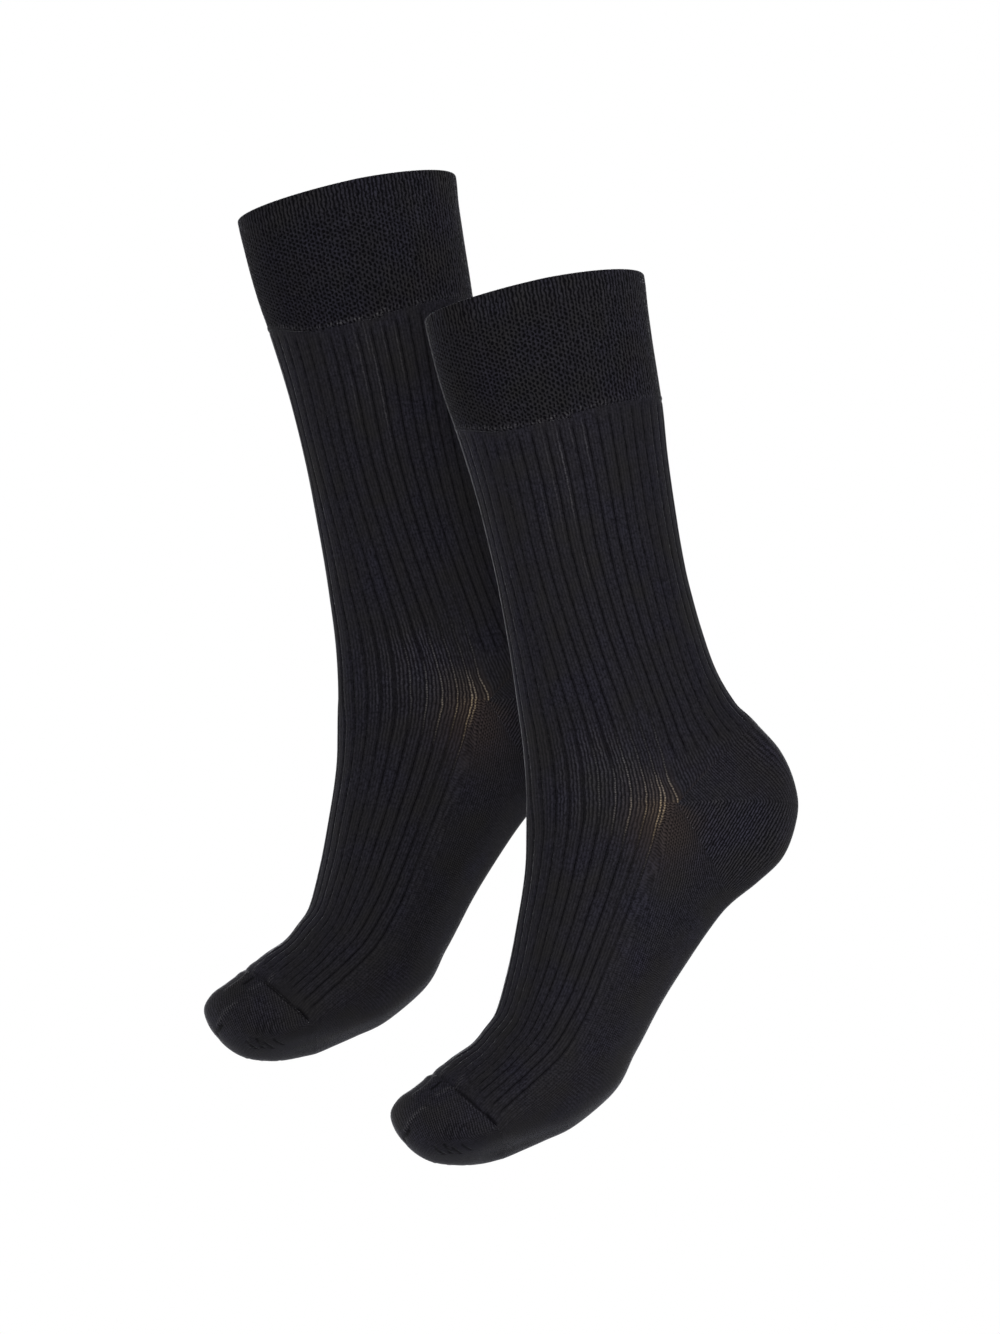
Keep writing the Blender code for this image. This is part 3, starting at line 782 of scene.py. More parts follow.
def make_leg(sock):
    """The ribbed leg; its back ribs end above the heel, the outer ones earlier."""
    ribs = tube_ribs(0, RIBS)
    surface = Surface(tube_knots, tube_rows, lambda levels: leg_places(levels, ribs),
                      cuff_end - 2, gore_level, True)
    level = levels_between(cuff_edge(ribs) + SEAM_AIR, np.full(len(ribs), gore_level - SEAM_AIR),
                           ROWS["leg"])
    opened = opened_mask(sock, ribs, level)
    behind = np.clip(from_corner(ribs), 0, None)
    last = gore_level - np.clip(20.5 - 2.6 * behind, 4.0, 18.0)
    grip = 1 - ramp(behind, 0.3, 0.6) * ramp(level - last, -3.0, 1.5)
    top = level - level[:1]
    grip_top = grip * ramp(top, 0.0, 6.0)
    height = (rib_height(ribs, grip_top, opened)
              + crease_height(LEG_CREASES[sock], ribs, level - cuff_end)
              + swell(SOCK_SEED[sock], ribs, level) - 0.25 * bell(top / 1.2))
    pulled = pulled_wales(ribs) * ramp(level, 196, 226)
    masks = all_masks(level.shape, ribbed=grip_top, opened=opened,
                      marked=np.maximum(0.4 * (1 - grip), 0.55 * pulled * (behind == 0)),
                      thin=thin_mask(leg_places(np.array([gore_level - 10]), ribs), level))
    wale = np.append(ribs, ribs[0] + RIBS) * WALES_PER_RIB
    place = leg_places(level[:, 0], ribs)
    return make_tube("leg", sock, surface, place, level, height, wale, masks)


def sole_wales(ribs, level):
    """Wale numbers round the foot, finer on the sole, where they set out on a slant at the heel."""
    on_sole = np.clip(ribs - FRONT_RIBS + 1, 0, None)
    from_middle = (ribs - FRONT_RIBS - BACK_RIBS / 2) / (BACK_RIBS / 2)
    slant = 8 * (1 - np.exp(-(level - gore_level) / 25)) * np.clip(1.6 * from_middle, -1, 1)
    slant = slant * (1 - ramp(np.abs(from_middle), 0.95, 1.09))
    return (WALES_PER_RIB * np.minimum(ribs, FRONT_RIBS - 1) + PLAIN_WALES * on_sole
            + slant * (on_sole > 0))


def make_foot(sock):
    """The foot: a ribbed instep over a plain sole, both drawn in at the toe seam."""
    instep_ribs = FRONT_RIBS - 2
    ribs = tube_ribs(1, instep_ribs)
    surface = Surface(foot_knots, foot_rows, lambda levels: foot_places(levels, ribs),
                      gore_level, seam_level, True)
    edge = np.full(len(ribs), 1.0)
    level = levels_between(edge * (gore_level + SEAM_AIR), edge * (seam_level - SEAM_AIR),
                           ROWS["foot"])
    opened = opened_mask(sock, ribs, level)
    left = seam_level - level
    grip = ramp(left, 4.0, 10.0)
    to_edge = np.minimum(np.abs(ribs - FRONT_RIBS + 1), np.minimum(ribs - 1, RIBS + 1 - ribs))
    side_groove = bell(to_edge / GROOVE_WIDTH)
    on_sole = ribs > FRONT_RIBS - 1
    height = np.where(on_sole, -grip * (GROOVE_DEPTH + 0.14) * side_groove,
                      rib_height(ribs, grip, opened))
    place = foot_places(level[:, 0], ribs)
    height = height + swell(SOCK_SEED[sock], place, level) + seam_roll(place, left)
    drop = level - gore_level
    thin = thin_mask(place, level)
    pulled = pulled_wales(place) * bell(drop / 22)
    band = bell((to_edge - 4.5) / 2.2) * (0.4 + 0.6 * bell((drop - 75) / 30))
    # the folds' painted highlight goes in with the open stitches, and their painted shade into the
    # sixth mask
    folded, lit, dark = folds(TOE_FOLDS_ABOVE, place * INSTEP_RIB, left)
    height = height + folded
    masks = all_masks(
        level.shape, opened=np.maximum(opened, lit), thin=thin, creased=dark,
        ribbed=grip * np.where(on_sole, 1 - ramp(to_edge, 0.12, 0.16), 1.0),
        marked=np.where(on_sole, 0.35 * ramp(to_edge, 0.5, 3.0)
                        + 0.5 * ramp(to_edge, 1.5, 5.0) * bell(drop / 42), 0.55 * pulled),
        laddered=np.where(on_sole, np.maximum(thin, 0.3 + 0.5 * band), 0.0))
    wale = sole_wales(np.append(ribs, ribs[0] + RIBS), np.hstack([level, level[:, :1]]))
    return make_tube("foot", sock, surface, place, level, height, wale, masks)


def along_seam(place):
    """Two masks along the toe seam: 1 away from its ends, and 1 at its middle."""
    over = ramp(place, 0.4, 2.5) * (1 - ramp(place, FRONT_RIBS - 2.5, FRONT_RIBS - 0.4))
    return over, bell((place - FRONT_RIBS / 2) / 7)


def seam_roll(place, left):
    """The cloth beside the toe seam: a roll that drops into the seam, less so over the toes."""
    over, top = along_seam(place)
    roll = (0.7 - 0.3 * top) * bell((left - 3.2) / 2.0)
    return over * (roll - (1.0 - 0.7 * top) * bell(left / 1.0))


# %% [markdown]
# ## Heel and toe pockets
# A pocket is knitted back and forth on half of the needles, each row shorter than the last and
# then longer again. The two halves join in a slanting line, the mitre, where the wales turn a
# corner. The surface is still read as a fan of courses, but the stitches are numbered so that
# the wales run straight across each half and turn at the mitre, not in circles about the
# pocket's corner.


# %% A pocket as a fan of courses
def pocket_rows(fan, before, after, point, width):
    """The fan's courses as full rows, with one more at each end for the slope."""
    outline = np.vstack([[*before, fan[0, 2]], fan, [*after, fan[-1, 2]]])
    rows = np.zeros((len(outline), 9))
    rows[:, FRONT] = rows[:, SIDE] = point
    rows[:, BACK], rows[:, WIDTH] = outline[:, :2], width
    rows[:, FRONT_SQUARE], rows[:, BACK_SQUARE] = 2.0, outline[:, 2]
    return spaced(rows, BACK), rows


def pocket_stitches(rows_at, ribs, mitre_turn, slants):
    """Wale and course numbers on a fan, laid out flat round its corner.

    A point's distance from the corner, measured round the fan, and its angle from the mitre
    give wale = distance x cos(angle - slant) / cos(slant), with a slant for either half. Near
    the middle of the back the wales go over to equal shares of the girth.
    """
    share = behind_share(ribs)
    reach = rows_at[:, BACK] - rows_at[:, SIDE]
    angle = np.unwrap(np.arctan2(reach[:, 1], reach[:, 0]))
    turned = (angle - angle[0]) / (angle[-1] - angle[0])
    away = (np.abs(angle - angle[0]) - mitre_turn * np.abs(angle[-1] - angle[0]))[:, None]
    slant = np.radians(np.where(turned < mitre_turn, slants[0], slants[1]))[:, None]
    girth = np.pi / 2 * np.sqrt((np.sum(reach ** 2, axis=1) + rows_at[:, WIDTH] ** 2) / 2)
    gauge = girth.mean() / (PLAIN_WALES * BACK_RIBS / 2)
    distance = girth[:, None] * share
    straight = distance * np.cos(np.abs(away) - slant) / np.cos(slant) / gauge
    even = np.broadcast_to(share * PLAIN_WALES * BACK_RIBS / 2, straight.shape)
    behind = ramp(share, 0.5, 1.0)
    wale = straight * (1 - behind) + even * behind
    course = distance * np.sin(np.abs(away) - slant) / COURSE_HEIGHT
    whole = PLAIN_WALES * BACK_RIBS
    return np.where(ribs > FRONT_RIBS + BACK_RIBS / 2, whole - wale, wale), course, away


def make_pocket(name, sock, knots, rows, mitre_turn, slants, edges, relief, mask_of):
    """A pocket: its stitches outside, plain inside, its corners drawn to two points.

    edges are the heights (ribs) that the stretches beside it have at its two edges.
    """
    ribs = FRONT_RIBS + np.linspace(0, BACK_RIBS, 10 * BACK_RIBS + 1)
    edge = np.ones(len(ribs))
    start, end = knots[1] + SEAM_AIR, knots[-2] - SEAM_AIR
    surface = Surface(knots, rows, lambda levels: ribs[None], knots[1], knots[-2], closed=False)
    level = levels_between(edge * start, edge * end, ROWS[name])
    base, out, _ = surface.read(level)
    wale, course, away = pocket_stitches(smooth(knots, rows, level[:, 0]), ribs, mitre_turn,
                                         slants)
    share = behind_share(ribs)
    out[:, 0] = out[:, -1] = (0, 0, 0)
    out[:, 0, 1], out[:, -1, 1] = 1, -1                    # the corners face straight sideways
    down, left = level - knots[1], knots[-2] - level
    own = ramp(down, 0, 14) * ramp(left, 0, 14) * ramp(share, 0.0, 0.3)
    across = ramp(down / (down + left), 0.1, 0.9)
    height = ((edges[0](ribs) * (1 - across) + edges[1](ribs) * across) * (1 - own)
              + swell(SOCK_SEED[sock] + 5, ribs, level) * own
              + relief(ribs, down, left, away) * ramp(share, 0, 0.04))
    outer = base + out * height[..., None]
    inner_level = level[::-INNER_STEP]
    inner, inner_out, _ = surface.read(inner_level)
    inner_out[:, 0], inner_out[:, -1] = out[0, 0], out[0, -1]
    inner = inner - inner_out * BODY_WALL
    masks = all_masks(level.shape, **mask_of(ribs, down, left, away))
    masks = {mask: np.concatenate([values, values[::-INNER_STEP] * 0])
             for mask, values in masks.items()}
    return ring_mesh(f"{sock}_{name}", np.concatenate([outer, inner]),
                     np.concatenate([wale, wale[::-INNER_STEP]]),
                     np.concatenate([course, course[::-INNER_STEP]]),
                     masks, False, [0, len(outer) - 1, len(outer), len(outer) + len(inner) - 1])


HEEL_POINT = LEG_COURSES[-1, SIDE] + (0.05, 0.0)
TOE_POINT = FOOT_COURSES[-1, SIDE] + (-0.05, 0.0)
heel_knots, heel_rows = pocket_rows(HEEL_FAN, LEG_COURSES[-2, BACK], FOOT_COURSES[1, BACK],
                                    HEEL_POINT, LEG_COURSES[-1, WIDTH])
toe_knots, toe_rows = pocket_rows(TOE_FAN, FOOT_COURSES[-2, BACK], FOOT_COURSES[-2, FRONT],
                                  TOE_POINT, FOOT_COURSES[-1, WIDTH])


def heel_relief(ribs, down, left, away):
    """A faint trough along the mitre, where the two halves were joined."""
    side = from_corner(ribs)
    return -0.14 * bell(away / 0.03) * (1 - ramp(side, 4.5, 7.0))


def heel_masks(ribs, down, left, away):
    """Clear wales below the mitre and faint ones above; brown near the gore's lower edge."""
    side = from_corner(ribs)
    below = ramp(away, -0.02, 0.05)
    clear = bell((side - 4.2) / 3.6)
    return {"marked": (0.25 + 0.15 * clear) * (1 - below) + below * (0.45 + 0.70 * clear),
            "laddered": np.full(down.shape, 0.35),
            "opened": 0.30 * bell(away / 0.03) * bell((side - 1.5) / 2.6) * ramp(side, 0, 0.5),
            "thin": 0.8 * bell((side - 0.2) / 2.1) * bell(left / 30.0) * ramp(down, 2, 30)}


def toe_relief(ribs, down, left, away):
    """The folds, a broad dent over and under the tips, and the roll beside the seam."""
    share = behind_share(ribs)
    height = folds(TOE_FOLDS, *toe_place(ribs, down))[0]
    behind = bell((ribs - FRONT_RIBS - BACK_RIBS / 2) / 8)
    height += behind * (-0.35 * bell((down - 35) / 18) + 0.5 * bell((down - 78) / 9)
                        - 0.55 * bell((down - 56) / 8))
    top = bell((ribs - FRONT_RIBS - BACK_RIBS / 2) / 6.5)
    inner = ramp(share, 0.04, 0.25)
    return height - inner * ((0.9 - 0.6 * top) * bell(left / 1.0) - 0.35 * bell((left - 2.6) / 1.6))


def toe_masks(ribs, down, left, away):
    """A few clear wales fan out under each corner; the rest is plain but for the folds' painted
    highlights and painted shade.
    """
    side = from_corner(ribs)
    _, lit, dark = folds(TOE_FOLDS, *toe_place(ribs, down))
    return {"marked": 0.35 + 0.6 * bell((side - 3.4) / 2.2) * bell((down - 38) / 20),
            "laddered": np.full(down.shape, 0.45), "opened": lit, "creased": dark}


def sock_edge(sock, level, place_of=lambda ribs: ribs):
    """The height that a tube has at one level, by the rib numbers of the pocket beside it."""
    return lambda ribs: (swell(SOCK_SEED[sock], place_of(ribs), level)
                         + settled(place_of(ribs), level))


def make_heel(sock):
    edge = sock_edge(sock, gore_level)
    return make_pocket("heel", sock, heel_knots, heel_rows, 0.42, (42, 34), (edge, edge),
                       heel_relief, heel_masks)


def make_toe(sock):
    over = sock_edge(sock, seam_level,
                     lambda ribs: FRONT_RIBS - (ribs - FRONT_RIBS) * FRONT_RIBS / BACK_RIBS)
    return make_pocket("toe", sock, toe_knots, toe_rows, 0.5, (30, 30),
                       (sock_edge(sock, seam_level), over), toe_relief, toe_masks)


# %% [markdown]
# ## The toe seam
# The toe is closed last, by linking the pocket's last round to the instep stitch by stitch. It
# shows as a fine cord sunk between the two. A curve with a bevel would do, but its stitches
# would need a texture. A round profile carried along the seam and swelling at each stitch is
# as easy: point = path + radius (out cos a + up sin a), with the radius a wave of the length.

# %% A fine cord of linked stitches
SEAM_CORD = 0.42            # radius
SEAM_STITCH = 1.65          # length of one linked stitch
SEAM_POINTS, SEAM_SIDES = 420, 8


def make_toe_seam(sock):
    """The cord between foot and toe, from one corner over the toes to the other.

    Its two ends are open, and its faces point inwards. The finishes are two-sided, so it still
    shows, but a program that drops back faces would lose it.
    """
    ribs = np.linspace(0.25, FRONT_RIBS - 0.25, SEAM_POINTS)
    surface = Surface(foot_knots, foot_rows, lambda levels: ribs[None], gore_level, seam_level,
                      closed=False)
    path, out, down = (field[0] for field in surface.read(np.full((1, len(ribs)), seam_level)))
    run = np.concatenate([[0], np.cumsum(np.linalg.norm(np.diff(path, axis=0), axis=1))])
    over, top = along_seam(ribs)
    sunk = 0.55 + 0.45 * over - 0.6 * top - settled(ribs, seam_level)
    path = path - out * sunk[:, None]
    turn = np.linspace(0, 2 * np.pi, SEAM_SIDES, endpoint=False)[:, None, None]
    plait = 1 + 0.28 * np.cos(2 * np.pi * run / SEAM_STITCH)
    thick = SEAM_CORD * plait * np.sqrt(ramp(run, -0.2, 1.0) * ramp(run[-1] - run, -0.2, 1.0))
    rows = path + thick[:, None] * (out * np.cos(turn) + down * np.sin(turn))
    wale = np.broadcast_to(turn[..., 0] / np.pi, rows.shape[:2])
    course = np.broadcast_to(run / SEAM_STITCH, rows.shape[:2])
    return ring_mesh(f"{sock}_toe_seam", rows[::-1], wale, course, all_masks(rows.shape[:2]),
                     False, [])


# %% [markdown]
# ## Place the pieces
# Both socks are built by the same functions. The far one differs in its creases and its swell,
# and its points are moved to its place, so that every object stays at the origin. Each piece
# rides on the one body, stands for its solid, and names the finish that it takes.

# %% Build both socks
MAKERS = {"cuff": make_cuff, "leg": make_leg, "heel": make_heel, "foot": make_foot,
          "toe": make_toe, "toe_seam": make_toe_seam}
SLOTS = {"cuff": "cuff_knit", "leg": "rib_knit", "foot": "rib_knit",
         "heel": "plain_knit", "toe": "plain_knit", "toe_seam": "plain_knit"}
PLACES = {"near": np.zeros(3), "far": FAR_SOCK_PLACE}

pieces = {}
for sock, place in PLACES.items():
    for stretch, make in MAKERS.items():
        mesh = make(sock)
        points = np.zeros(3 * len(mesh.vertices), np.float32)
        mesh.vertices.foreach_get("co", points)
        points = points.reshape(-1, 3) + (place * MM).astype(np.float32)
        mesh.vertices.foreach_set("co", points.ravel())
        mesh.update()
        item = bpy.data.objects.new(f"{sock}_{stretch}_cloth", mesh)
        bpy.context.scene.collection.objects.link(item)
        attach(item, "root")
        if stretch in ("cuff", "leg", "heel", "foot", "toe"):
            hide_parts(f"{sock}_{stretch}")
        pieces[sock, stretch] = item
        print(f"{item.name}: {triangles(mesh)} triangles")

# %% [markdown]
# ## How big the cloth was
# Knitting stretches: off the foot each stretch is narrower and a little longer than it shows
# here. Each one's size is worked out as worn and as it would lie at rest.

# %% Work out each stretch's size, worn and at rest
WIDTH_WORN = 1.28           # how much wider the knitting is worn than it lies flat
LENGTH_WORN = 0.98          # and how much longer, which is a little shorter here


def worn_size(knots, rows, start, end, ribs):
    """A stretch's mean girth and mean length as worn, in millimetres."""
    points = course_points(smooth(knots, rows, np.linspace(start, end, 60)), ribs)
    girth = np.linalg.norm(np.diff(points, axis=1), axis=-1).sum(axis=1).mean()
    length = np.linalg.norm(np.diff(points, axis=0), axis=-1).sum(axis=0).mean()
    return girth, length


ALL_ROUND = np.append(np.arange(0, RIBS, 0.25), 0)
BEHIND = np.linspace(FRONT_RIBS, RIBS, 81)
SIZES = {
    "cuff": worn_size(tube_knots, tube_rows, 0, cuff_end, ALL_ROUND),
    "leg": worn_size(tube_knots, tube_rows, cuff_end, gore_level, ALL_ROUND),
    "foot": worn_size(foot_knots, foot_rows, gore_level, seam_level, ALL_ROUND),
    "heel": worn_size(heel_knots, heel_rows, heel_knots[1], heel_knots[-2], BEHIND),
    "toe": worn_size(toe_knots, toe_rows, toe_knots[1], toe_knots[-2], BEHIND),
}
for stretch, (girth, length) in SIZES.items():
    flat = (girth / WIDTH_WORN * MM, length / LENGTH_WORN * MM)
    print(f"{stretch}: worn {girth:.0f} x {length:.0f} mm, "
          f"at rest {flat[0] / MM:.0f} x {flat[1] / MM:.0f} mm")
    for sock in PLACES:
        seam = [pieces[sock, "toe_seam"]] if stretch == "toe" else []

# %% [markdown]
# ## The finish: what every yarn shares
# Three finishes use the same two effects, so each effect is a node group with its own inputs.
# `knit stitches` draws the V of each stitch from the UV map, where one unit is one stitch.
# `yarn haze` breaks up the black: real cotton has lighter and darker threads, and a nap.


# %% Arithmetic on node sockets
class Field:
    """A node's output to calculate with: each +, -, * or / makes one Math node."""

    def __init__(self, tree, socket):
        self.tree, self.socket = tree, socket

    def math(self, operation, *others):
        return math_node(self.tree, operation, self, *others)

    def __add__(self, other):
        return self.math("ADD", other)

    def __sub__(self, other):
        return self.math("SUBTRACT", other)

    def __rsub__(self, other):
        return math_node(self.tree, "SUBTRACT", other, self)

    def __mul__(self, other):
        return self.math("MULTIPLY", other)

    def __truediv__(self, other):
        return self.math("DIVIDE", other)

    def clamped(self):
        """The same, kept between 0 and 1 by its own node."""
        self.socket.node.use_clamp = True
        return self


def connect(tree, value, socket):
    """Link a field to a socket, or set the socket to a plain value."""
    if isinstance(value, Field):
        tree.links.new(value.socket, socket)
    else:
        socket.default_value = value


def math_node(tree, operation, *values):
    node = tree.nodes.new("ShaderNodeMath")
    node.operation = operation
    for socket, value in zip(node.inputs, values):
        connect(tree, value, socket)
    return Field(tree, node.outputs[0])


def new_group(name, inputs, outputs):
    """An empty shader group with the named sockets, and its input and output nodes."""
    group = bpy.data.node_groups.new(name, "ShaderNodeTree")
    for label, kind, value in inputs:
        socket = group.interface.new_socket(label, in_out="INPUT", socket_type=kind)
        if value is not None:
            socket.default_value = value
    for label, kind in outputs:
        group.interface.new_socket(label, in_out="OUTPUT", socket_type=kind)
    return group, group.nodes.new("NodeGroupInput"), group.nodes.new("NodeGroupOutput")


# %% The V of each stitch
def knit_stitches_group():
    """Height of the stitches, and masks of the gaps, wales, grooves, courses and pits.

    A wale's middle lies on a whole number. Two legs slant away from it, so the height is a
    wave of course + 0.45 x (distance from the middle), times an arch over each leg.
    """
    group, start, end = new_group(
        "knit stitches", [("Stitches", "NodeSocketVector", None)],
        [(label, "NodeSocketFloat")
         for label in ("Height", "Gap", "Line", "Groove", "Bead", "Pit")])
    split = group.nodes.new("ShaderNodeSeparateXYZ")
    group.links.new(start.outputs["Stitches"], split.inputs[0])
    wale, course = Field(group, split.outputs[0]), Field(group, split.outputs[1])
    off = ((wale + 0.5).math("FRACT") - 0.5).math("ABSOLUTE")
    away = off * 2.0                                               # 0 in the middle, 1 in the gap
    leg = (away * np.pi).math("SINE")
    legs = leg * 0.75 + (1.0 - away) * 0.3
    slant = course + away * 0.45
    wave = (slant * (2 * np.pi)).math("COSINE") * 0.5 + 0.5
    height = legs * (wave * 0.55 + 0.45)
    gap = ((away - 0.15) * 1.5).clamped()
    line = (1.0 - away * 1.6).clamped()
    # the groove mask: where the knits paint shade into the grooves
    from_groove = ((wale / WALES_PER_RIB + 0.5).math("FRACT") - 0.5).math("ABSOLUTE")    # in ribs
    edge = (1.25 - from_groove / GROOVE_WIDTH).clamped()
    groove = edge * (wave * 0.3 + 0.7)
    across, down = (wale - 0.5) * np.pi, course * np.pi
    strong = (across + down).math("COSINE") * 0.3
    weak = (across - down).math("COSINE") * 0.2
    pit = ((strong + weak + 0.5) * 1.9 - 0.25).clamped()
    for socket, field in zip(end.inputs, (height, gap, line, groove, wave, pit)):
        connect(group, field, socket)
    return group


# %% The haze of the yarn
def yarn_haze_group():
    """Lighter and darker threads, broad cloudiness, and the nap's own small height."""
    group, start, end = new_group(
        "yarn haze",
        [("Place", "NodeSocketVector", None), ("Thread Scale", "NodeSocketFloat", 800.0),
         ("Cloud Scale", "NodeSocketFloat", 45.0)],
        [("Thread", "NodeSocketFloat"), ("Cloud", "NodeSocketFloat")])
    for label, detail in (("Thread", 3.0), ("Cloud", 2.0)):
        noise = group.nodes.new("ShaderNodeTexNoise")
        noise.inputs["Detail"].default_value = detail
        noise.inputs["Roughness"].default_value = 0.6
        group.links.new(start.outputs["Place"], noise.inputs["Vector"])
        group.links.new(start.outputs[label + " Scale"], noise.inputs["Scale"])
        spread = (Field(group, noise.outputs["Fac"]) - 0.3) * 2.5
        connect(group, spread.clamped(), end.inputs[label])
    return group


STITCHES, HAZE = knit_stitches_group(), yarn_haze_group()
print("node groups:", STITCHES.name, "and", HAZE.name)

# %% [markdown]
# ## The three knits
# Matt cotton has almost no mirror shine, so the specular level is low and the roughness high.
# What lightens its edges is the nap, and the Principled shader's sheen is made for that. Black
# yarn is never quite black: the colour runs from nearly black in the gaps to a bluish charcoal
# on the stitches. The same near-black is painted into the grooves, the depths of folds and the
# cuff's front as shade. Where the cloth is pulled open, pale stitches shine through, and the same
# pale colour is painted along the folds' ridges as a highlight.

# %% Make the knit materials
# the near-black of the gaps, also used as painted shade in the grooves, the folds and over the cuff
GAP_AND_SHADE_BLACK = (0.0022, 0.0021, 0.0028, 1.0)
YARN_DARK = (0.0052, 0.0049, 0.0062, 1.0)
YARN_COOL = (0.0200, 0.0192, 0.0272)
YARN_WARM = (0.0216, 0.0205, 0.0214)
# pale stitches where the cloth is open, and also the painted highlight along the folds' ridges
OPEN_AND_HIGHLIGHT_GREY = (0.122, 0.118, 0.124, 1.0)
OPEN_WARM = (0.295, 0.228, 0.148, 1.0)
STRETCHED_BROWN = (0.0470, 0.0350, 0.0310, 1.0)
STITCH_DEPTH = 0.00025      # metres
WANDER_SCALE = 420.0        # of the noise that bends the rows of stitches
EDGE_NAP = 13.0             # the higher, the closer to the outline the nap shows


def mix_colour(tree, mask, low, high):
    """A colour between two, by a mask; each colour is a value or another field."""
    node = tree.nodes.new("ShaderNodeMix")
    node.data_type = "RGBA"
    connect(tree, mask, node.inputs[0])
    connect(tree, low, node.inputs[6])
    connect(tree, high, node.inputs[7])
    return Field(tree, node.outputs[2])


def knit_material(name, light, clearness, pits, waver):
    """A black cotton knit.

    light is how light its yarn is. clearness says how much darker the gaps are than the wales
    where the `marked` mask is 0 and where it is 1; the mean stays the same, so that no seam
    shows where it changes. pits is 1 for the cuff's pits. waver is how far, in stitches, the
    rows wander.
    """
    material = bpy.data.materials.new(name)
    material.use_nodes = True
    tree = material.node_tree
    nodes, links = tree.nodes, tree.links
    shader = nodes["Principled BSDF"]

    where = nodes.new("ShaderNodeTexCoord")
    uv = nodes.new("ShaderNodeUVMap")
    uv.uv_map = "stitches"
    stitches = nodes.new("ShaderNodeGroup")
    stitches.node_tree = STITCHES
    wander = nodes.new("ShaderNodeTexNoise")
    wander.inputs["Scale"].default_value = WANDER_SCALE
    wander.inputs["Detail"].default_value = 1.0
    links.new(where.outputs["Object"], wander.inputs["Vector"])
    bend, shifted = nodes.new("ShaderNodeVectorMath"), nodes.new("ShaderNodeVectorMath")
    bend.operation, shifted.operation = "MULTIPLY_ADD", "ADD"
    links.new(wander.outputs["Color"], bend.inputs[0])
    bend.inputs[1].default_value = (waver, 1.4 * waver, 0.0)
    bend.inputs[2].default_value = (-0.5 * waver, -0.7 * waver, 0.0)
    links.new(bend.outputs[0], shifted.inputs[0])
    links.new(uv.outputs[0], shifted.inputs[1])
    links.new(shifted.outputs[0], stitches.inputs["Stitches"])
    haze = nodes.new("ShaderNodeGroup")
    haze.node_tree = HAZE
    links.new(where.outputs["Object"], haze.inputs["Place"])
    masks = {}
    for label in MASKS:
        masks[label] = nodes.new("ShaderNodeAttribute")
        masks[label].attribute_name = label
    ribbed, marked, laddered, opened, thin, creased = (
        Field(tree, masks[label].outputs["Fac"]) for label in MASKS)
    height, between_wales, line, groove, bead, pit = (Field(tree, out) for out in stitches.outputs)
    thread, cloud = (Field(tree, out) for out in haze.outputs)

    warm, cool = (tuple(light * part for part in tint) + (1.0,) for tint in (YARN_WARM, YARN_COOL))
    light_yarn = mix_colour(tree, cloud, warm, cool)
    speckle = (thread - 0.5) * (cloud * 0.9 + 0.35)
    colour = mix_colour(tree, (speckle + 0.7).clamped(), YARN_DARK, light_yarn)
    colour = mix_colour(tree, thin * 0.8, colour, STRETCHED_BROWN)

    low, high = clearness
    clear = marked * (high - low) + low
    gap = (between_wales - 0.5) * clear + 0.5
    held = marked * pits
    gap = gap * (1.0 - held * 0.65)
    deep = between_wales * 0.65 + 0.35
    step = (0.5 - bead) * laddered * 0.8
    knitted = (gap + pit * held * deep + step).clamped()
    closed = (1.0 - opened * 0.7).clamped()
    # painted shade: the grooves and the sixth mask darken the colour towards the near-black of the
    # gaps
    sunk = 1.0 - (groove * ribbed * closed).math("MAXIMUM", creased)
    dark = 1.0 - sunk * (1.0 - knitted)
    colour = mix_colour(tree, dark * 0.96, colour, GAP_AND_SHADE_BLACK)

    beads = bead * 0.8 + 0.2
    broken = thread * 0.9 + 0.35
    # pale open stitches, and the painted highlight along the folds' ridges
    lit = (beads * line * 1.35 * opened * broken).clamped()
    through = mix_colour(tree, thin, OPEN_AND_HIGHLIGHT_GREY, OPEN_WARM)
    connect(tree, mix_colour(tree, lit, colour, through), shader.inputs["Base Color"])

    connect(tree, thread * 0.12 + 0.80, shader.inputs["Roughness"])
    shader.inputs["Specular IOR Level"].default_value = 0.02
    edge = nodes.new("ShaderNodeLayerWeight")
    edge.inputs["Blend"].default_value = 0.5
    fuzz = Field(tree, edge.outputs["Facing"]).math("POWER", EDGE_NAP)
    connect(tree, fuzz + 0.015, shader.inputs["Sheen Weight"])
    shader.inputs["Sheen Roughness"].default_value = 0.25
    shader.inputs["Sheen Tint"].default_value = (0.92, 0.93, 1.0, 1.0)

    bump = nodes.new("ShaderNodeBump")
    bump.inputs["Distance"].default_value = STITCH_DEPTH
    bump.inputs["Strength"].default_value = 0.9
    connect(tree, height + thread * 0.4, bump.inputs["Height"])
    links.new(bump.outputs["Normal"], shader.inputs["Normal"])
    return material


KNITS = {
    "cuff_knit": knit_material("cuff knit", 1.45, (1.0, 1.1), 1.0, 1.2),
    "rib_knit": knit_material("rib knit", 1.59, (0.25, 1.0), 0.0, 0.7),
    "plain_knit": knit_material("plain knit", 1.62, (0.25, 1.1), 0.0, 0.7),
}
for (sock, stretch), item in pieces.items():
    item.data.materials.append(KNITS[SLOTS[stretch]])
print("finishes:", ", ".join(KNITS))

# %% [markdown]
# ## Camera, light and floor
# The camera stands far off with a long lens, so that lines stay nearly parallel, and a little
# below the socks, looking up at them. The frame is 470 mm wide and 627 mm high where the socks
# hang. A soft lamp in front and one on each side light the knit, two more further back draw a
# thin light line along the edges, one behind lights the far side, and the room is white.

# %% Place the camera
FRAME_HEIGHT = 0.627
CAMERA_DISTANCE = 20.0
CAMERA_DROP = np.radians(10)
AIM = Vector((-0.0162, 0.0570, -0.1650))

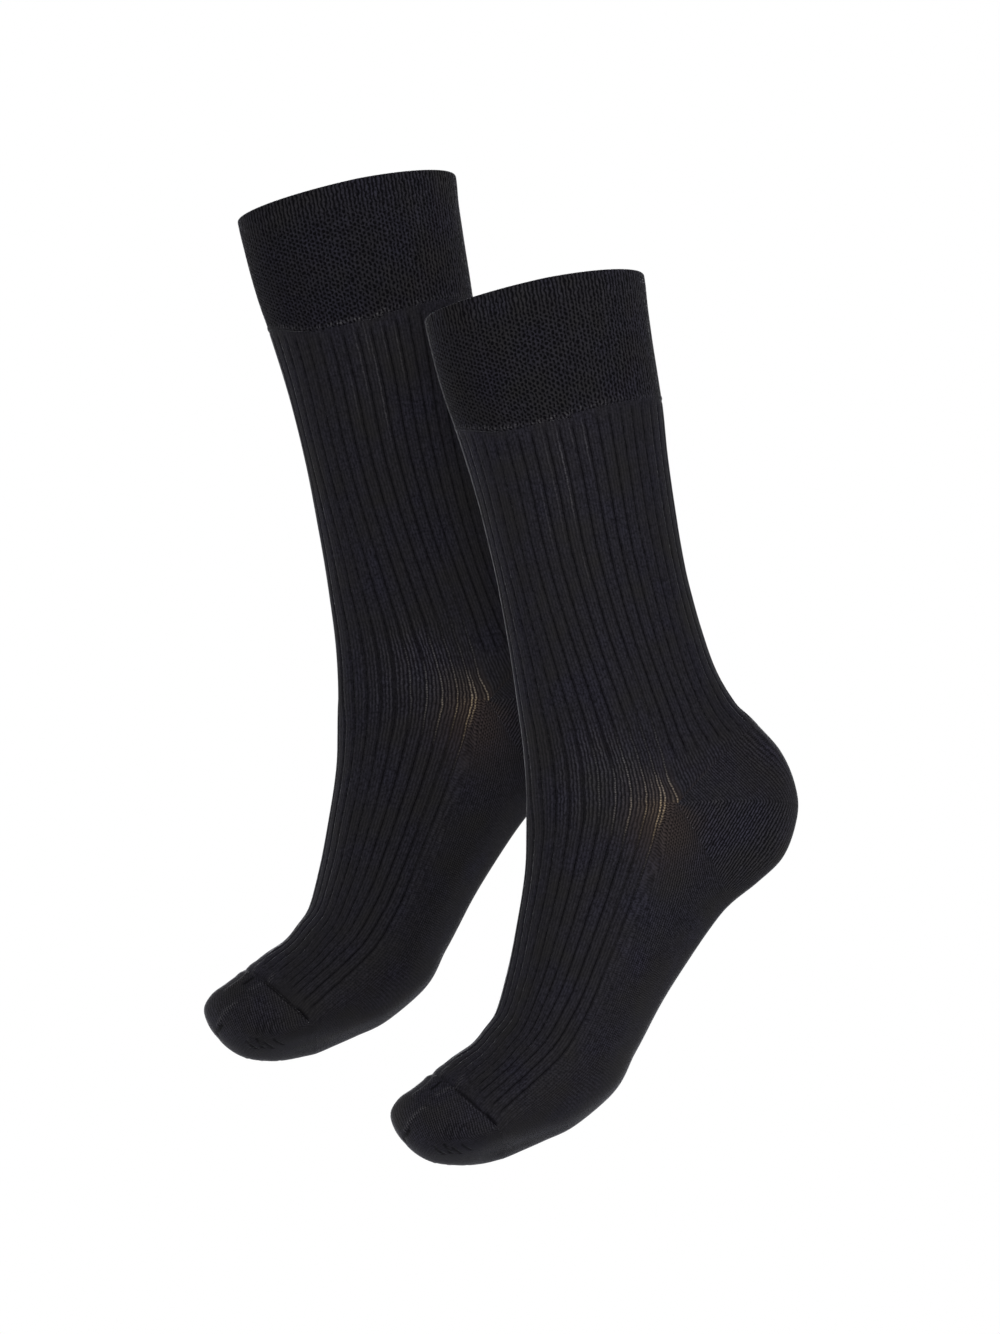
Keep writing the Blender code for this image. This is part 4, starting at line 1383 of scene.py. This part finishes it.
camera = bpy.data.objects.new("camera", bpy.data.cameras.new("camera"))
camera.data.lens = camera.data.sensor_width * CAMERA_DISTANCE / FRAME_HEIGHT
camera.data.clip_end = 200.0
backwards = Vector((0.0, -np.cos(CAMERA_DROP), -np.sin(CAMERA_DROP)))
camera.location = AIM + backwards * CAMERA_DISTANCE
camera.rotation_euler = (-backwards).to_track_quat("-Z", "Y").to_euler()
bpy.context.scene.collection.objects.link(camera)
bpy.context.scene.camera = camera


# %% Hang the lamps
def add_lamp(name, place, size, power):
    """A square soft lamp, turned towards the socks."""
    light = bpy.data.lights.new(name, "AREA")
    light.shape, light.size, light.energy = "SQUARE", size, power
    lamp = bpy.data.objects.new(name, light)
    lamp.location = place
    lamp.rotation_euler = (AIM - Vector(place)).to_track_quat("-Z", "Y").to_euler()
    bpy.context.scene.collection.objects.link(lamp)


LAMPS = {                   # place, size in metres, power in watts
    "front": ((-0.1, -3.0, -0.45), 0.8, 48.0),
    "left key": ((-1.4, -2.2, 0.2), 0.9, 8.0),
    "right fill": ((1.9, -1.3, -0.1), 1.2, 15.0),
    "left edge": ((-1.8, 1.7, 0.0), 0.8, 33.0),
    "right edge": ((1.8, 1.7, 0.0), 0.8, 27.0),
    "back": ((0.4, 2.6, 1.4), 0.8, 40.0),
}
for name, lamp in LAMPS.items():
    add_lamp(name, *lamp)

# %% A white room and a pale floor that can't be seen from below
world = bpy.data.worlds.new("white room")
bpy.context.scene.world = world
world.use_nodes = True
nodes, links = world.node_tree.nodes, world.node_tree.links
nodes.clear()
seen, lit = nodes.new("ShaderNodeBackground"), nodes.new("ShaderNodeBackground")
seen.inputs["Strength"].default_value = 1.0
seen.inputs["Color"].default_value = (1.0, 1.0, 1.0, 1.0)
lit.inputs["Strength"].default_value = 0.50
lit.inputs["Color"].default_value = (1.0, 1.0, 1.0, 1.0)
path, either = nodes.new("ShaderNodeLightPath"), nodes.new("ShaderNodeMixShader")
links.new(path.outputs["Is Camera Ray"], either.inputs[0])
links.new(lit.outputs[0], either.inputs[1])
links.new(seen.outputs[0], either.inputs[2])
links.new(either.outputs[0], nodes.new("ShaderNodeOutputWorld").inputs[0])

FLOOR_LEVEL = -2.6
FLOOR_SIZE = 80.0
corners = [(x * FLOOR_SIZE, y * FLOOR_SIZE, FLOOR_LEVEL)
           for x, y in ((-1, -1), (1, -1), (1, 1), (-1, 1))]
floor_mesh = bpy.data.meshes.new("floor")
floor_mesh.from_pydata(corners, [], [(0, 1, 2, 3)])
floor = bpy.data.objects.new("floor", floor_mesh)
paper = bpy.data.materials.new("pale paper")
paper.use_nodes = True
nodes, links = paper.node_tree.nodes, paper.node_tree.links
nodes["Principled BSDF"].inputs["Base Color"].default_value = (0.86, 0.86, 0.87, 1.0)
nodes["Principled BSDF"].inputs["Roughness"].default_value = 0.9
below, clear = nodes.new("ShaderNodeNewGeometry"), nodes.new("ShaderNodeBsdfTransparent")
either = nodes.new("ShaderNodeMixShader")
links.new(below.outputs["Backfacing"], either.inputs[0])
links.new(nodes["Principled BSDF"].outputs[0], either.inputs[1])
links.new(clear.outputs[0], either.inputs[2])
links.new(either.outputs[0], nodes["Material Output"].inputs[0])
floor_mesh.materials.append(paper)
bpy.context.scene.collection.objects.link(floor)
bpy.context.scene.view_settings.view_transform = "Standard"
